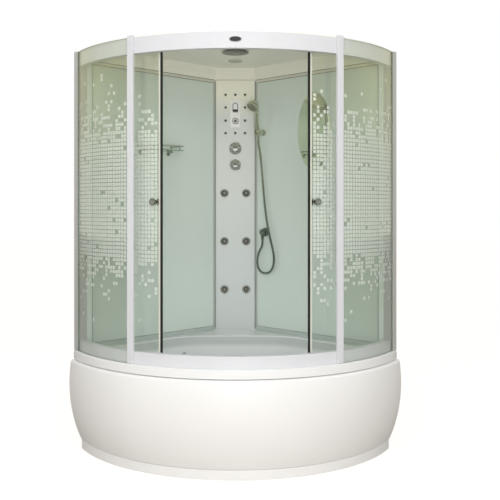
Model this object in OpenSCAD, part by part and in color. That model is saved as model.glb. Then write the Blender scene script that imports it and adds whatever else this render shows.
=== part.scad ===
// Quadrant shower cabin with a deep tub, in millimetres.
// +Z is up, the room corner is at the back on +Y and the curved front faces -Y.
// Curved pieces are revolved about the front axis; angles along the front are
// counted from its middle, positive to the right.

/* [Overall] */
// Height of the roof above the floor
cabin_h = 2200; // [2100:5:2300]
// Distance from the room corner to the axis of the curved front
corner_to_axis = 440; // [425:5:455]
// Outer radius of the curved front
front_r = 970; // [950:5:985]
// Height of the tub's deck above the floor
deck_h = 540; // [520:5:560]
// Gap between pieces that move past each other
run_gap = 0.3; // [0.2:0.05:0.5]
// Radial clearance of a shaft in its bore
fit = 0.05; // [0.02:0.01:0.09]

/* [Tub] */
// How far the tub's rim stands out beyond the posts
rim_overhang = 8; // [5:1:12]
// Height of the turned-down rim
rim_lip_h = 45; // [30:1:48]
// Thickness of the acrylic shell
tub_wall = 6; // [4:0.5:8]
// Height of the bowl's floor
bowl_floor_z = 150; // [146:1:180]
// Deck left beside the back walls
side_ledge = 62; // [52:1:75]
// Deck left behind the rim at the front
front_ledge = 93; // [88:1:105]
// Depth of the seat ledge in front of the column
seat_depth = 222; // [180:2:240]
// How tightly the bowl's corners turn
bowl_corners = 12; // [8:1:20]

/* [Apron and plinth] */
// Largest radius of the bulging apron
bulge_r = 1005; // [1000:1:1012]
// Height of the bulge's widest line
bulge_z = 370; // [350:5:390]
// Radius of the apron's upright curve
apron_curve_r = 740; // [700:10:800]
// Height of the apron's lower edge
apron_bottom_z = 52; // [50:1:60]
// Thickness of the apron
apron_wall = 5; // [3:0.5:6]
// Rounding of the apron's top shoulder
apron_shoulder_r = 14; // [10:1:18]
// Thickness of the plinth strip
plinth_wall = 6; // [4:0.5:8]

/* [Support frame and feet] */
// Width of the frame's square uprights
frame_tube = 34; // [30:1:36]
// Width of the frame's square base bars
frame_bar_w = 26; // [24:1:28]
// Height of the frame's underside
frame_z = 95; // [90:1:100]
// Radius at which the front uprights stand
frame_r = 915; // [912:1:918]
// Radius of a foot's pad
foot_r = 28; // [22:1:32]
// Radius of a foot's threaded rod
foot_rod_r = 6; // [5:0.5:7]

/* [Front rails] */
// Height of the top rail
top_rail_h = 80; // [70:1:90]
// Height of the bottom rail
bottom_rail_h = 60; // [56:1:64]
// Wall of the rail profiles
rail_wall = 3; // [2:0.5:4]
// Distance from the rail's front to the middle of the roller track
track_in = 33; // [31:1:36]
// Thickness of the track's ridge
ridge_t = 3; // [2.5:0.1:3.4]
// Height of the track's ridge
ridge_h = 17; // [15:0.5:18]
// How far the top rail's upper flange reaches in past the track
rail_lip = 24; // [20:1:26]
// Angle from the middle to a post
post_phi = 32.6; // [31:0.2:34]
// Width of a post
post_w = 36; // [30:1:40]
// How far the posts stand above the top rail
post_over = 9; // [4:1:14]

/* [Glass] */
// Thickness of the curved panes
glass_t = 6; // [5:0.5:6]
// Distance from the posts' front to the fixed panes
glass_in = 9; // [7:0.5:10]
// Angle from the middle to a door's closing edge when it stands open
open_phi = 23.2; // [20:0.2:24]
// Angle that a door covers
door_phi = 34; // [33:0.2:34]

/* [Door fittings] */
// Radius of a roller at the bottom of its groove
wheel_groove_r = 10; // [9:0.5:11]
// Radius of a roller's flanges
wheel_flange_r = 13; // [12:0.5:14]
// Width of a roller
wheel_w = 9; // [8:0.5:10]
// Radius of a roller's axle
axle_r = 4; // [3:0.5:4.5]
// Angle from a door's edges to its rollers
wheel_inset_phi = 4.8; // [3:0.2:7]
// Height of the door knobs above the floor
door_knob_z = 1340; // [1250:5:1450]
// Radius of a door knob
door_knob_r = 17.5; // [14:0.5:22]
// How far a door knob stands off its pane
door_knob_l = 26; // [20:1:30]
// Distance from a door's closing edge to its knob
door_knob_in = 44; // [36:1:70]
// Width of the closing seal
seal_w = 18; // [14:1:24]

/* [Back walls] */
// Depth of the wall frames
wall_d = 22; // [20:0.5:24]
// Thickness of the back panels
panel_t = 5; // [4:0.5:6]
// Height of the lower frame strip
wall_strip_bottom = 28; // [22:1:34]
// Height of the upper frame strip
wall_strip_top = 22; // [18:1:28]
// Width of the upright frame strips
wall_strip_side = 12; // [10:1:16]
// Depth of the upright profile that joins a wall to the front
profile_d = 30; // [28:1:32]
// Width of that upright profile
profile_w = 56; // [50:1:60]

/* [Column] */
// Distance from the room corner to the column's face
column_face = 160; // [155:1:165]
// Thickness of the column shell
column_wall = 4; // [3:0.5:5]
// Rounding of the column's folded edges
column_edge_r = 4; // [3:0.5:4]
// Length of the column's flanges along the walls
column_flange = 70; // [50:1:80]
// Width of the control plate
plate_w = 62; // [56:1:70]
// Height of the control plate
plate_h = 177; // [165:1:190]
// Distance from the walls' top down to the control plate's middle
plate_down = 214; // [205:1:220]
// Thickness of the control plate
plate_t = 5; // [4:0.5:6]
// Distance from the control plate down to the mixer knob
mixer_down = 220; // [211:1:226]
// Radius of the mixer knob
mixer_r = 35; // [30:1:38]
// Distance from the mixer knob down to the diverter knob
diverter_down = 104; // [98:1:111]
// Radius of the diverter knob
diverter_r = 31; // [27:1:34]
// Distance of the jets from the column's middle line
jet_x = 68.5; // [64:0.5:72]
// Height of the lowest pair of jets
jet_z = 796; // [760:1:830]
// Distance from the diverter knob down to the highest pair of jets
jets_down = 178; // [166:1:226]
// Radius of a jet's bezel
jet_r = 27; // [24:0.5:30]

/* [Wall fittings] */
// Distance along the right wall from the corner to the handset
handset_s = 268; // [260:1:280]
// Distance from the walls' top down to the handset's holder
holder_down = 339; // [320:1:360]
// Backward lean of the handset's handle, in degrees
handset_lean = 6; // [0:1:24]
// Distance along the right wall from the corner to the hose elbow
elbow_s = 287; // [282:1:292]
// Height of the hose elbow
elbow_z = 1160; // [1155:1:1165]
// Distance along the right wall from the corner to the mirror's middle
mirror_s = 677; // [640:1:720]
// Distance from the walls' top down to the mirror's middle
mirror_down = 354; // [320:1:420]
// Width of the oval mirror
mirror_w = 250; // [220:1:280]
// Height of the oval mirror
mirror_h = 460; // [420:1:500]
// Distance along the left wall from the corner to the shelf's middle
shelf_s = 690; // [650:1:720]
// Length of the shelf
shelf_l = 260; // [220:1:300]
// Depth of the shelf
shelf_d = 120; // [100:1:130]
// Distance from the walls' top down to the shelf
shelf_down = 475; // [420:1:520]

/* [Roof] */
// Depth of the ceiling's collar
roof_collar = 80; // [70:1:90]
// Thickness of the roof shell
roof_wall = 5; // [4:0.5:6]
// Radius of the roof's flat top towards the front
roof_top_r = 735; // [700:5:740]
// Radius of the overhead shower
overhead_r = 75; // [60:1:90]
// Distance from the room corner to the overhead shower
overhead_from_corner = 750; // [700:5:780]
// Distance from the room corner to the ceiling lamp
lamp_from_corner = 413; // [400:1:450]
// Radius of the ceiling lamp
lamp_r = 42; // [35:1:50]

/* [Waste] */
// Radius of the waste's tail
waste_r = 25; // [22:0.5:27]
// Distance from the front axis forward to the waste
waste_from_axis = 290; // [280:5:320]
// Height of the overflow knob
overflow_z = 398; // [380:1:410]
// How far the waste plug rises
plug_lift = 12; // [8:1:14]
// Radius of the outlet pipe
outlet_r = 20; // [16:1:20]

/* [Hidden] */
$fn = 48;
eps = 0.01;
big = 6000;
half = cos(45);

// Places along the depth
depth = corner_to_axis + bulge_r;
corner_y = depth / 2;
axis_y = corner_y - corner_to_axis;

// Radii of the layers of the front, from the outside in
rim_r = front_r + rim_overhang;
glass_out = front_r - glass_in;
rail_out = glass_out - glass_t - 0.5;
track_r = rail_out - track_in;
door_out = track_r - wheel_w / 2 - 4;
door_in = door_out - glass_t;

// Heights of the layers
lip_z = deck_h - rim_lip_h;
wall_top = cabin_h - roof_collar;
top_rail_z1 = wall_top + 35;
top_rail_z0 = top_rail_z1 - top_rail_h;
bottom_rail_z1 = deck_h + bottom_rail_h;
top_wheel_z = top_rail_z0 + rail_wall + ridge_h + wheel_groove_r + run_gap;
bottom_wheel_z = bottom_rail_z1 - rail_wall - ridge_h - wheel_groove_r - run_gap;
plate_z = wall_top - plate_down;
mixer_z = plate_z - mixer_down;
diverter_z = mixer_z - diverter_down;
jet_pitch = (diverter_z - jets_down - jet_z) / 2;
holder_z = wall_top - holder_down;
mirror_z = wall_top - mirror_down;
shelf_z = wall_top - shelf_down;
door_z0 = deck_h + 12;
door_z1 = top_wheel_z + 24;
post_z1 = top_rail_z1 + post_over;

// Distances along a back wall, from the room corner
wall_foot = corner_to_axis * half;
column_half = column_face - wall_d / half;
wall_s0 = (column_half + column_face) * half;
wall_s1 = wall_foot + sqrt(pow(glass_out, 2) - pow(wall_foot - profile_d, 2)) + 6;
profile_s0 = wall_s1 - profile_w;
panel_face = wall_d - 2;
panel_back = panel_face - panel_t;

// Angles along the front
post_half_phi = post_w / 2 / front_r / PI * 180;
glass_phi = post_phi - post_half_phi * 0.3;
seal_lead_phi = seal_w * 0.4 / door_out / PI * 180;
wheel_phis = [open_phi + wheel_inset_phi, open_phi + door_phi - wheel_inset_phi];
door_knob_phi = open_phi + door_knob_in / door_out / PI * 180;

// Column face
face_y = corner_y - column_face;
pipe_y = corner_y - 121;
pipe_off_wall = 8;
inlet_y = corner_y - 94;
inlet_x = 40;
inlet_z = 1250;
inlet_stub_r = 10.48;
inlet_end_y = corner_y - 58;
spray_rows = [
    [plate_z + 119, [-61, 0, 61]],
    [plate_z + 39, [-61, 61]],
    [plate_z - 44, [-61, 61]],
    [plate_z - 123, [-61, 0, 61]]
];
button_z = plate_z - 47;
display_z = plate_z + 38;
valve_r = 25;
valve_l = 72;
spindle_r = 5;

// Waste
waste_y = axis_y - waste_from_axis;
overflow_a = 90;
filler_a = 138;
filler_z = 436;

// Inclination of the handle: the hose's end follows from it
handle_y = -panel_face - 50;
handle_end = 48;
hose_r = 7;
hose_bore_r = 4;
rib_depth = 0.9;
rib_pitch = 10;
// Route of the hose on the right wall: distance from the corner, off the wall, height
hose_route = [
    [elbow_s, -48, 1118], [elbow_s, -48, 1098], [281, -48, 1070], [258, -47, 1035],
    [241, -45, 990], [243, -43, 945], [266, -42, 915], [304, -42, 905],
    [342, -42, 915], [370, -42, 950], [378, -42, 1000], [366, -42, 1060],
    [344, -42, 1130], [320, -42, 1220], [298, -40, 1340], [282, -38, 1460],
    [272, -42, 1580], [handset_s + 1, -50, 1650],
    [handset_s, handle_y + (handle_end + 34) * sin(handset_lean),
        holder_z - (handle_end + 34) * cos(handset_lean)],
    [handset_s, handle_y + (handle_end + run_gap) * sin(handset_lean),
        holder_z - (handle_end + run_gap) * cos(handset_lean)]
];

// Form of the bowl: share of its depth, then how much further in it stands
// at the sides, at the front and at the back
bowl_form = [
    [0, 0, 0, 0], [0.025, 4, 4, 4], [0.105, 20, 12, 20], [0.13, 32, 20, 34],
    [0.5, 64, 50, 92], [0.8, 102, 88, 158], [0.94, 138, 122, 208], [1, 178, 165, 260]
];
bowl_depth = deck_h - bowl_floor_z;
bowl_back = corner_to_axis - column_face - seat_depth;
bowl_shift = 300;
bowl_cy = axis_y - bowl_shift;

function form_at(z, column) =
    lookup((deck_h - z) / bowl_depth, [for (f = bowl_form) [f[0], f[column]]]);
function plane_reach(d, c) = c > 0.05 ? d / c : 1e5;
function soft_min(values) =
    pow([for (v = values) pow(v, -bowl_corners)] * [for (v = values) 1], -1 / bowl_corners);
function front_reach(a, r) =
    bowl_shift * sin(a) + sqrt(pow(bowl_shift * sin(a), 2) + r * r - bowl_shift * bowl_shift);
function side_reach(z, grow) =
    wall_foot + bowl_shift * half - side_ledge - form_at(z, 1) + grow;
function bowl_reach(a, z, grow) = soft_min([
    plane_reach(side_reach(z, grow), cos(a - 45)),
    plane_reach(side_reach(z, grow), cos(a - 135)),
    plane_reach(bowl_shift + bowl_back - form_at(z, 3) + grow, sin(a)),
    front_reach(a, rim_r - front_ledge - form_at(z, 2) + grow)
]);
function bowl_point(a, z, grow = 0) =
    [0, bowl_cy, z] + bowl_reach(a, z, grow) * [cos(a), sin(a), 0];
function unit(v) = v / norm(v);
function bowl_normal(a, z) = unit(cross(
    bowl_point(a, z + 5) - bowl_point(a, z - 5),
    bowl_point(a + 1, z) - bowl_point(a - 1, z)));
function wall_point(p) =
    [(p[0] + p[1]) * half, corner_y - (p[0] - p[1]) * half, p[2]];
function arc(cx, cy, r, a0, a1, n) =
    [for (i = [0 : n]) let (a = a0 + (a1 - a0) * i / n) [cx + r * cos(a), cy + r * sin(a)]];
// Point of a smooth curve between the second and third of four points
function smooth(p, k, t) =
    let (p0 = p[max(k - 1, 0)], p1 = p[k], p2 = p[k + 1], p3 = p[min(k + 2, len(p) - 1)])
    0.5 * (2 * p1 + (p2 - p0) * t + (2 * p0 - 5 * p1 + 4 * p2 - p3) * t * t
        + (3 * p1 - p0 - 3 * p2 + p3) * t * t * t);
function path_length(p, i = 0) =
    i >= len(p) - 1 ? 0 : norm(p[i + 1] - p[i]) + path_length(p, i + 1);

// A piece revolved about the front axis between two angles
module sector(from, to)
    translate([0, axis_y, 0]) rotate([0, 0, from - 90])
        rotate_extrude(angle = to - from, $fn = 180) children();
// Something placed on the front, with -Y pointing outwards
module on_front(phi, r, z)
    translate([0, axis_y, 0]) rotate([0, 0, phi]) translate([0, -r, z]) children();
module radial_rod(r, from, to, $fn = 32)
    translate([0, -from, 0]) rotate([90, 0, 0]) cylinder(r = r, h = to - from);
// The right back wall's frame: x along the wall, -y into the cabin
module right_wall() translate([0, corner_y, 0]) rotate([0, 0, -45]) children();
module left_wall() mirror([1, 0, 0]) right_wall() children();
module both_walls() {
    right_wall() children();
    left_wall() children();
}
module both_sides() {
    children();
    mirror([1, 0, 0]) children();
}
module trim_to_walls(inset) difference() {
    children();
    both_walls() translate([-big / 2, -inset, -eps]) cube([big, big, big]);
}
// Plan of the cabin, drawn in by an inset at the walls and a cut across the corner
module plan(inset, r, corner_cut) difference() {
    translate([0, axis_y]) circle(r = r, $fn = 180);
    for (side = [-1, 1])
        translate([0, corner_y]) rotate(-45 * side)
            translate([-big / 2, -inset]) square([big, big]);
    translate([-big / 2, corner_y - corner_cut]) square([big, big]);
}
// Straight round tubes through a list of points, with a ball fitting at each bend
module pipe(points, r) for (i = [0 : len(points) - 2]) {
    d = points[i + 1] - points[i];
    translate(points[i])
        rotate([0, acos(d[2] / norm(d)), atan2(d[1], d[0])]) cylinder(r = r, h = norm(d), $fn = 24);
    if (i > 0)
        translate(points[i]) sphere(r = r * 1.3, $fn = 24);
}
// Welded frame: a base of square bars and uprights that carry the tub's deck
frame_phis = [-54, -18, 18, 54];
function front_post(phi) = [frame_r * sin(phi), axis_y - frame_r * cos(phi)];
frame_front_r = frame_r * cos(18);
foot_phis = [-36, 0, 36];
frame_wall_y = 28;
frame_end = 61;
frame_wall_s = [150, 640,
    wall_foot + sqrt(pow(frame_r, 2) - pow(wall_foot - frame_wall_y, 2)) - frame_end];
module frame_bar(p, q) {
    d = q - p;
    translate([p[0], p[1], frame_z + 3]) rotate([0, 0, atan2(d[1], d[0])])
        translate([0, -frame_bar_w / 2, 0]) cube([norm(d), frame_bar_w, frame_bar_w]);
}
module frame_upright()
    translate([-frame_tube / 2, -frame_tube / 2, frame_z])
        cube([frame_tube, frame_tube, deck_h - tub_wall - frame_z]);
module rod_hole() translate([0, 0, frame_z - 1]) cylinder(r = foot_rod_r + fit, h = frame_bar_w - 2);
module support_frame() color("silver") difference() {
    union() {
        for (i = [0 : 2])
            frame_bar(front_post(frame_phis[i]), front_post(frame_phis[i + 1]));
        for (x = [-170, 170])
            frame_bar([x, axis_y - frame_front_r], [x, corner_y - 210]);
        both_walls() translate([frame_wall_s[0], -frame_wall_y - frame_bar_w / 2, frame_z + 3])
            cube([frame_wall_s[2] - frame_wall_s[0], frame_bar_w, frame_bar_w]);
        for (phi = frame_phis) on_front(phi, frame_r, 0) frame_upright();
        both_walls() for (s = frame_wall_s) translate([s, -frame_wall_y, 0]) frame_upright();
    }
    for (phi = foot_phis) on_front(phi, frame_front_r, 0) rod_hole();
    both_walls() for (s = frame_wall_s) translate([s, -frame_wall_y, 0]) rod_hole();
}
module foot() {
    cylinder(r = foot_r, h = 6);
    translate([0, 0, 6]) cylinder(r1 = foot_r * 0.7, r2 = foot_r * 0.4, h = 12);
    cylinder(r = foot_rod_r, h = frame_z + frame_bar_w - 6);
    translate([0, 0, frame_z - 11]) cylinder(r = 11, h = 10.7, $fn = 6);
}
module levelling_feet() color("dimgray") {
    for (phi = foot_phis) on_front(phi, frame_front_r, 0) foot();
    both_walls() for (s = frame_wall_s) translate([s, -frame_wall_y, 0]) foot();
}

module plinth() color("white") trim_to_walls(2) sector(-64, 64)
    translate([rim_r - 46 - plinth_wall, 0]) square([plinth_wall, apron_bottom_z - 2]);

// Bulging front panel: one upright arc, a rounded shoulder and a flange under the rim
module apron_outline(inset) {
    cx = bulge_r - apron_curve_r;
    r = apron_curve_r - inset;
    shoulder_z = lip_z - 3 - apron_shoulder_r;
    a1 = asin((shoulder_z - bulge_z) / apron_curve_r);
    shoulder_r = cx + apron_curve_r * cos(a1) - apron_shoulder_r;
    polygon(concat(
        arc(cx, bulge_z, r, asin((apron_bottom_z - bulge_z) / r), a1, 20),
        arc(shoulder_r, shoulder_z, apron_shoulder_r - inset, a1, 90, 5),
        [[0, shoulder_z + apron_shoulder_r - inset], [0, apron_bottom_z]]));
}
module apron() color("white") trim_to_walls(2) sector(-66, 66) difference() {
    apron_outline(0);
    apron_outline(apron_wall);
    translate([0, bulge_z]) square([rim_r - 16, big]);
}

// The tub's shell: rings from the bowl's floor up to the deck, over the turned-down
// rim and back down under the bowl, all at the same angles so that they join
function deck_reach(a, inset) = min(
    plane_reach(wall_foot + bowl_shift * half - inset, cos(a - 45)),
    plane_reach(wall_foot + bowl_shift * half - inset, cos(a - 135)),
    front_reach(a, rim_r - inset));
function deck_point(a, inset, z) = [0, bowl_cy, z] + deck_reach(a, inset) * [cos(a), sin(a), 0];
rim_corner = wall_point([wall_foot + sqrt(pow(rim_r, 2) - pow(wall_foot, 2)), 0, 0]);
rim_corner_a = atan2(rim_corner[1] - bowl_cy, rim_corner[0]);
function spread(from, to, n) = [for (i = [0 : n - 1]) from + (to - from) * i / n];
module tub_shell() {
    angles = concat(spread(rim_corner_a, 90, 14), spread(90, 180 - rim_corner_a, 14),
        spread(180 - rim_corner_a, 360 + rim_corner_a, 36));
    levels = [for (f = bowl_form) deck_h - f[0] * bowl_depth];
    last = len(levels) - 1;
    under = deck_h - tub_wall;
    rings = concat(
        [for (i = [last : -1 : 0]) [for (a = angles) bowl_point(a, levels[i])]],
        [[for (a = angles) deck_point(a, 0, deck_h)],
            [for (a = angles) deck_point(a, 0, lip_z)],
            [for (a = angles) deck_point(a, tub_wall, lip_z)],
            [for (a = angles) deck_point(a, tub_wall, under)]],
        [for (i = [0 : last]) [for (a = angles)
            let (p = bowl_point(a, levels[i], tub_wall))
            [p[0], p[1], i == last ? p[2] - tub_wall : min(p[2], under - i)]]]);
    n = len(angles);
    top = len(rings) - 1;
    polyhedron([for (r = rings) each r], concat(
        [[for (j = [0 : n - 1]) j]],
        [for (i = [0 : top - 1]) for (j = [0 : n - 1]) let (k = (j + 1) % n)
            [i * n + k, i * n + j, i * n + n + j, i * n + n + k]],
        [[for (j = [n - 1 : -1 : 0]) top * n + j]]), convexity = 6);
}
// Something placed on the bowl's wall, with +Z pointing into the bowl
module on_bowl(a, z) {
    n = bowl_normal(a, z);
    translate(bowl_point(a, z)) rotate([0, acos(n[2]), atan2(n[1], n[0])]) children();
}
overflow_hole_r = 17;
filler_hole_r = 11;
module tub() color("white") difference() {
    tub_shell();
    translate([0, waste_y, bowl_floor_z - 30]) cylinder(r = waste_r + 0.5, h = 60);
    on_bowl(overflow_a, overflow_z) translate([0, 0, -20]) cylinder(r = overflow_hole_r, h = 40);
    on_bowl(filler_a, filler_z) translate([0, 0, -20]) cylinder(r = filler_hole_r, h = 40);
    translate([0, pipe_y, deck_h - 20]) cylinder(r = 10, h = 40);
}

// Curved rails: a front web, flanges and the ridge that the rollers run on
module rail_flange(z, from, to) translate([from, z]) square([to - from, rail_wall]);
module top_rail() color("white") trim_to_walls(profile_d) sector(-66, 66) {
    translate([rail_out - rail_wall, top_rail_z0]) square([rail_wall, top_rail_h]);
    rail_flange(top_rail_z0, track_r - ridge_t / 2, rail_out);
    rail_flange(top_rail_z1 - rail_wall, track_r - rail_lip, rail_out);
    rail_flange(top_rail_z0 + 40, rail_out - 14, rail_out);
    translate([track_r - ridge_t / 2, top_rail_z0]) square([ridge_t, rail_wall + ridge_h]);
}
module bottom_rail() color("white") trim_to_walls(profile_d) sector(-66, 66) {
    translate([rail_out - rail_wall, deck_h]) square([rail_wall, bottom_rail_h]);
    rail_flange(deck_h, rail_out - 20, rail_out);
    rail_flange(bottom_rail_z1 - rail_wall, track_r - ridge_t / 2, rail_out);
    rail_flange(deck_h + 30, rail_out - 14, rail_out);
    translate([track_r - ridge_t / 2, bottom_rail_z1 - rail_wall - ridge_h])
        square([ridge_t, rail_wall + ridge_h]);
}
module pane_section(from, z0, z1, clearance = 0)
    translate([from - clearance, z0]) square([glass_t + 2 * clearance, z1 - z0]);
module posts() color("white") both_sides() difference() {
    sector(post_phi - post_half_phi, post_phi + post_half_phi)
        translate([rail_out + 0.1, deck_h]) square([front_r - rail_out - 0.1, post_z1 - deck_h]);
    sector(glass_phi, post_phi + 2)
        pane_section(glass_out - glass_t, deck_h - 1, top_rail_z1, 0.1);
    sector(post_phi - post_half_phi * 0.8, post_phi + post_half_phi * 0.8)
        translate([glass_out + 2, deck_h - 1]) square([front_r - glass_out - 4, big]);
}
module fixed_glass_right() color([0.75, 0.88, 0.8, 0.4]) trim_to_walls(profile_d - 12)
    sector(glass_phi, 66) pane_section(glass_out - glass_t, deck_h, top_rail_z1 - 1);
module fixed_glass_left() mirror([1, 0, 0]) fixed_glass_right();
module wall_profiles() color("lightgray") both_sides() difference() {
    right_wall() translate([profile_s0, -profile_d, deck_h])
        cube([profile_w, profile_d, top_rail_z1 - deck_h]);
    trim_to_walls(profile_d - 12) sector(50, 68)
        pane_section(glass_out - glass_t, deck_h - 1, big / 2, 0.1);
    right_wall() translate([profile_s0 + 3, -profile_d + 15, deck_h - 1])
        cube([profile_w - 6, profile_d - 18, big / 2]);
}

// A door: curved glass, closing seal, knob pair, roller hubs and four grooved rollers
module each_wheel() for (phi = wheel_phis) for (z = [bottom_wheel_z, top_wheel_z])
    on_front(phi, 0, z) children();
hub_r = 7;
module door_glass_right() color([0.75, 0.88, 0.8, 0.4]) difference() {
    sector(open_phi + seal_lead_phi, open_phi + door_phi) pane_section(door_in, door_z0, door_z1);
    each_wheel() radial_rod(hub_r, door_in - 5, door_out + 5);
    on_front(door_knob_phi, 0, door_knob_z) radial_rod(6, door_in - 5, door_out + 5);
}
module door_glass_left() mirror([1, 0, 0]) door_glass_right();
module door_seal_right() color("darkslategray") difference() {
    sector(open_phi, open_phi + seal_w / door_out / PI * 180)
        translate([door_in - 2, door_z0]) square([glass_t + 4, door_z1 - door_z0]);
    sector(open_phi + seal_lead_phi, open_phi + 5)
        pane_section(door_in, door_z0 - 1, door_z1 + 1);
}
module door_seal_left() mirror([1, 0, 0]) door_seal_right();
module knob_form(r, l) rotate_extrude() polygon(concat(
    [[0, 0], [r * 0.7, 0], [r * 0.7, 2], [r * 0.42, 3], [r * 0.42, l * 0.38]],
    arc(r * 0.75, l * 0.62, r * 0.25, -90, 0, 5),
    arc(r * 0.8, l * 0.85, r * 0.2, 0, 90, 5),
    [[r * 0.5, l], [0, l - 1.5]]));
module door_knob_right() color("silver") on_front(door_knob_phi, 0, door_knob_z) {
    translate([0, -door_out - fit, 0]) rotate([90, 0, 0]) knob_form(door_knob_r, door_knob_l);
    translate([0, -door_in + run_gap, 0]) rotate([-90, 0, 0]) knob_form(door_knob_r, door_knob_l);
    radial_rod(5.8, door_in - 1, door_out + 1);
}
module door_knob_left() mirror([1, 0, 0]) door_knob_right();
module roller_hubs_right() color("silver") each_wheel() {
    radial_rod(14, door_in - 8, door_in - run_gap);
    radial_rod(hub_r - 0.1, door_in - 1, door_out + 4 - run_gap);
    radial_rod(axle_r, door_out, track_r + wheel_w / 2 + 3);
    radial_rod(7, track_r + wheel_w / 2 + run_gap, track_r + wheel_w / 2 + 2);
}
module roller_hubs_left() mirror([1, 0, 0]) roller_hubs_right();
module wheel_form() {
    w = wheel_w / 2;
    g = ridge_t / 2 + 0.8;
    rotate_extrude() polygon([
        [axle_r + fit, -w], [wheel_flange_r - 1, -w], [wheel_flange_r, -w + 0.8],
        [wheel_flange_r, -g - 0.7], [wheel_groove_r, -g], [wheel_groove_r, g],
        [wheel_flange_r, g + 0.7], [wheel_flange_r, w - 0.8], [wheel_flange_r - 1, w],
        [axle_r + fit, w]]);
}
module wheel(side, top, back) color("whitesmoke")
    on_front(side * wheel_phis[back], track_r, top ? top_wheel_z : bottom_wheel_z)
        rotate([90, 0, 0]) wheel_form();

// Back walls
module wall_frame_form() difference() {
    translate([wall_s0, -wall_d, deck_h]) cube([profile_s0 - wall_s0, wall_d, wall_top - deck_h]);
    translate([wall_s0 + wall_strip_side, -wall_d - 1, deck_h + wall_strip_bottom])
        cube([profile_s0 - wall_s0 - 2 * wall_strip_side, wall_d + 2,
            wall_top - deck_h - wall_strip_bottom - wall_strip_top]);
    translate([wall_s0 + 3, -panel_face - 0.1, deck_h + 12])
        cube([profile_s0 - wall_s0 - 6, panel_t + 0.2, wall_top - deck_h - 22]);
}
module wall_frames() color("silver") {
    left_wall() wall_frame_form();
    difference() {
        right_wall() wall_frame_form();
        right_wall() translate([wall_s0 - 10, -pipe_off_wall, elbow_z]) rotate([0, 90, 0])
            cylinder(r = 6, h = 30);
    }
}
module wall_panel_form() translate([wall_s0 + 3, -panel_face, deck_h + 12])
    cube([profile_s0 - wall_s0 - 6, panel_t, wall_top - deck_h - 22]);
module wall_panel_left() color("#b2c5bc") left_wall() wall_panel_form();
module wall_panel_right() color("#b2c5bc") right_wall() difference() {
    wall_panel_form();
    translate([elbow_s, -panel_face - 1, elbow_z]) rotate([-90, 0, 0]) cylinder(r = 9, h = panel_t + 2);
}

// Corner column: a sheet folded back sharply along the walls
fold = 1 + sqrt(2);
module column_outline() {
    flange_end = [column_half, face_y] + column_flange * [-half, half];
    right = concat(
        arc(column_half - fold * column_edge_r, face_y + column_edge_r, column_edge_r, 270, 405, 6),
        [flange_end, flange_end - column_wall * [half, half],
            [column_half - fold * column_wall, face_y + column_wall]]);
    last = len(right) - 1;
    polygon(concat(right, [for (i = [last : -1 : 0]) [-right[i][0], right[i][1]]]));
}
module column() color("#e6e6e2") difference() {
    translate([0, 0, deck_h]) linear_extrude(wall_top - deck_h) column_outline();
    for (z = [mixer_z, diverter_z]) face_hole(0, z, 18);
    each_jet() translate([0, -1, 0]) rotate([-90, 0, 0]) cylinder(r = 18.5, h = column_wall + 2);
    for (row = spray_rows) for (x = row[1]) face_hole(x, row[0], 4.2);
    face_hole(0, button_z, 8);
    face_hole(0, display_z, 8);
}
module face_hole(x, z, r)
    translate([x, face_y - 1, z]) rotate([-90, 0, 0]) cylinder(r = r, h = column_wall + 2);
module each_jet() for (x = [-jet_x, jet_x]) for (k = [0 : 2])
    translate([x, face_y, jet_z + k * jet_pitch]) children();
module forward() rotate([90, 0, 0]) children();
module jet_bodies() color("lightgray") each_jet() forward() difference() {
    translate([0, 0, -30]) cylinder(r = 18, h = 30);
    translate([0, 0, -25]) cylinder(r = 11, h = 30);
    translate([0, 0, -31]) cylinder(r = 5, h = 10);
}
module jet_bezels() color("silver") each_jet() forward() rotate_extrude() polygon(concat(
    [[3, -8], [10.8, -8], [10.8, 0], [jet_r, 0], [jet_r, 3]],
    arc(jet_r - 5, 3, 5, 0, 90, 4),
    [[17, 8], [14, 5], [11, 4.5], [8.5, 7.5], [4.5, 8.5], [3, 7]]));
module spray_nozzles() color("silver") for (row = spray_rows) for (x = row[1])
    translate([x, face_y, row[0]]) forward() rotate_extrude($fn = 24) polygon([
        [1.5, -16], [4, -16], [4, 0], [8, 0], [7.5, 2.5], [4, 3.5], [3.5, 2.5], [1.5, 2.5]]);

// Control panel with its arch-shaped display, its sealed module and the button
display_r = 17;
button_r = 11;
module arch(w, h) {
    translate([-w / 2, 0]) square([w, h - w / 2]);
    translate([0, h - w / 2]) circle(r = w / 2);
}
module control_plate() color("#d8d8d0") translate([0, face_y, 0]) forward() difference() {
    union() {
        translate([-plate_w / 2, plate_z - plate_h / 2, 0]) cube([plate_w, plate_h, plate_t]);
        translate([0, button_z, plate_t]) difference() {
            cylinder(r = button_r + 9, h = 2.5);
            cylinder(r = button_r + 5, h = 3);
        }
    }
    translate([0, display_z - 30, plate_t - 2]) linear_extrude(3) difference() {
        arch(2 * display_r, 60);
        translate([0, 5]) arch(2 * display_r - 10, 50);
    }
    translate([0, button_z, -1]) cylinder(r = button_r + run_gap, h = plate_t + 2);
}
module power_button() color("silver") translate([0, face_y, button_z]) forward() {
    translate([0, 0, 3]) cylinder(r = button_r, h = plate_t);
    translate([0, 0, -4]) cylinder(r = 5, h = 8);
}
module control_module() color("dimgray") translate([-28, face_y + column_wall + 6, plate_z - 92])
    difference() {
        union() {
            cube([56, 24, 184]);
            for (z = [12, 160]) translate([16, -6, z]) cube([24, 7, 10]);
        }
        translate([28, -1, button_z - plate_z + 92]) rotate([-90, 0, 0]) cylinder(r = 7, h = 12);
    }

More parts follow.
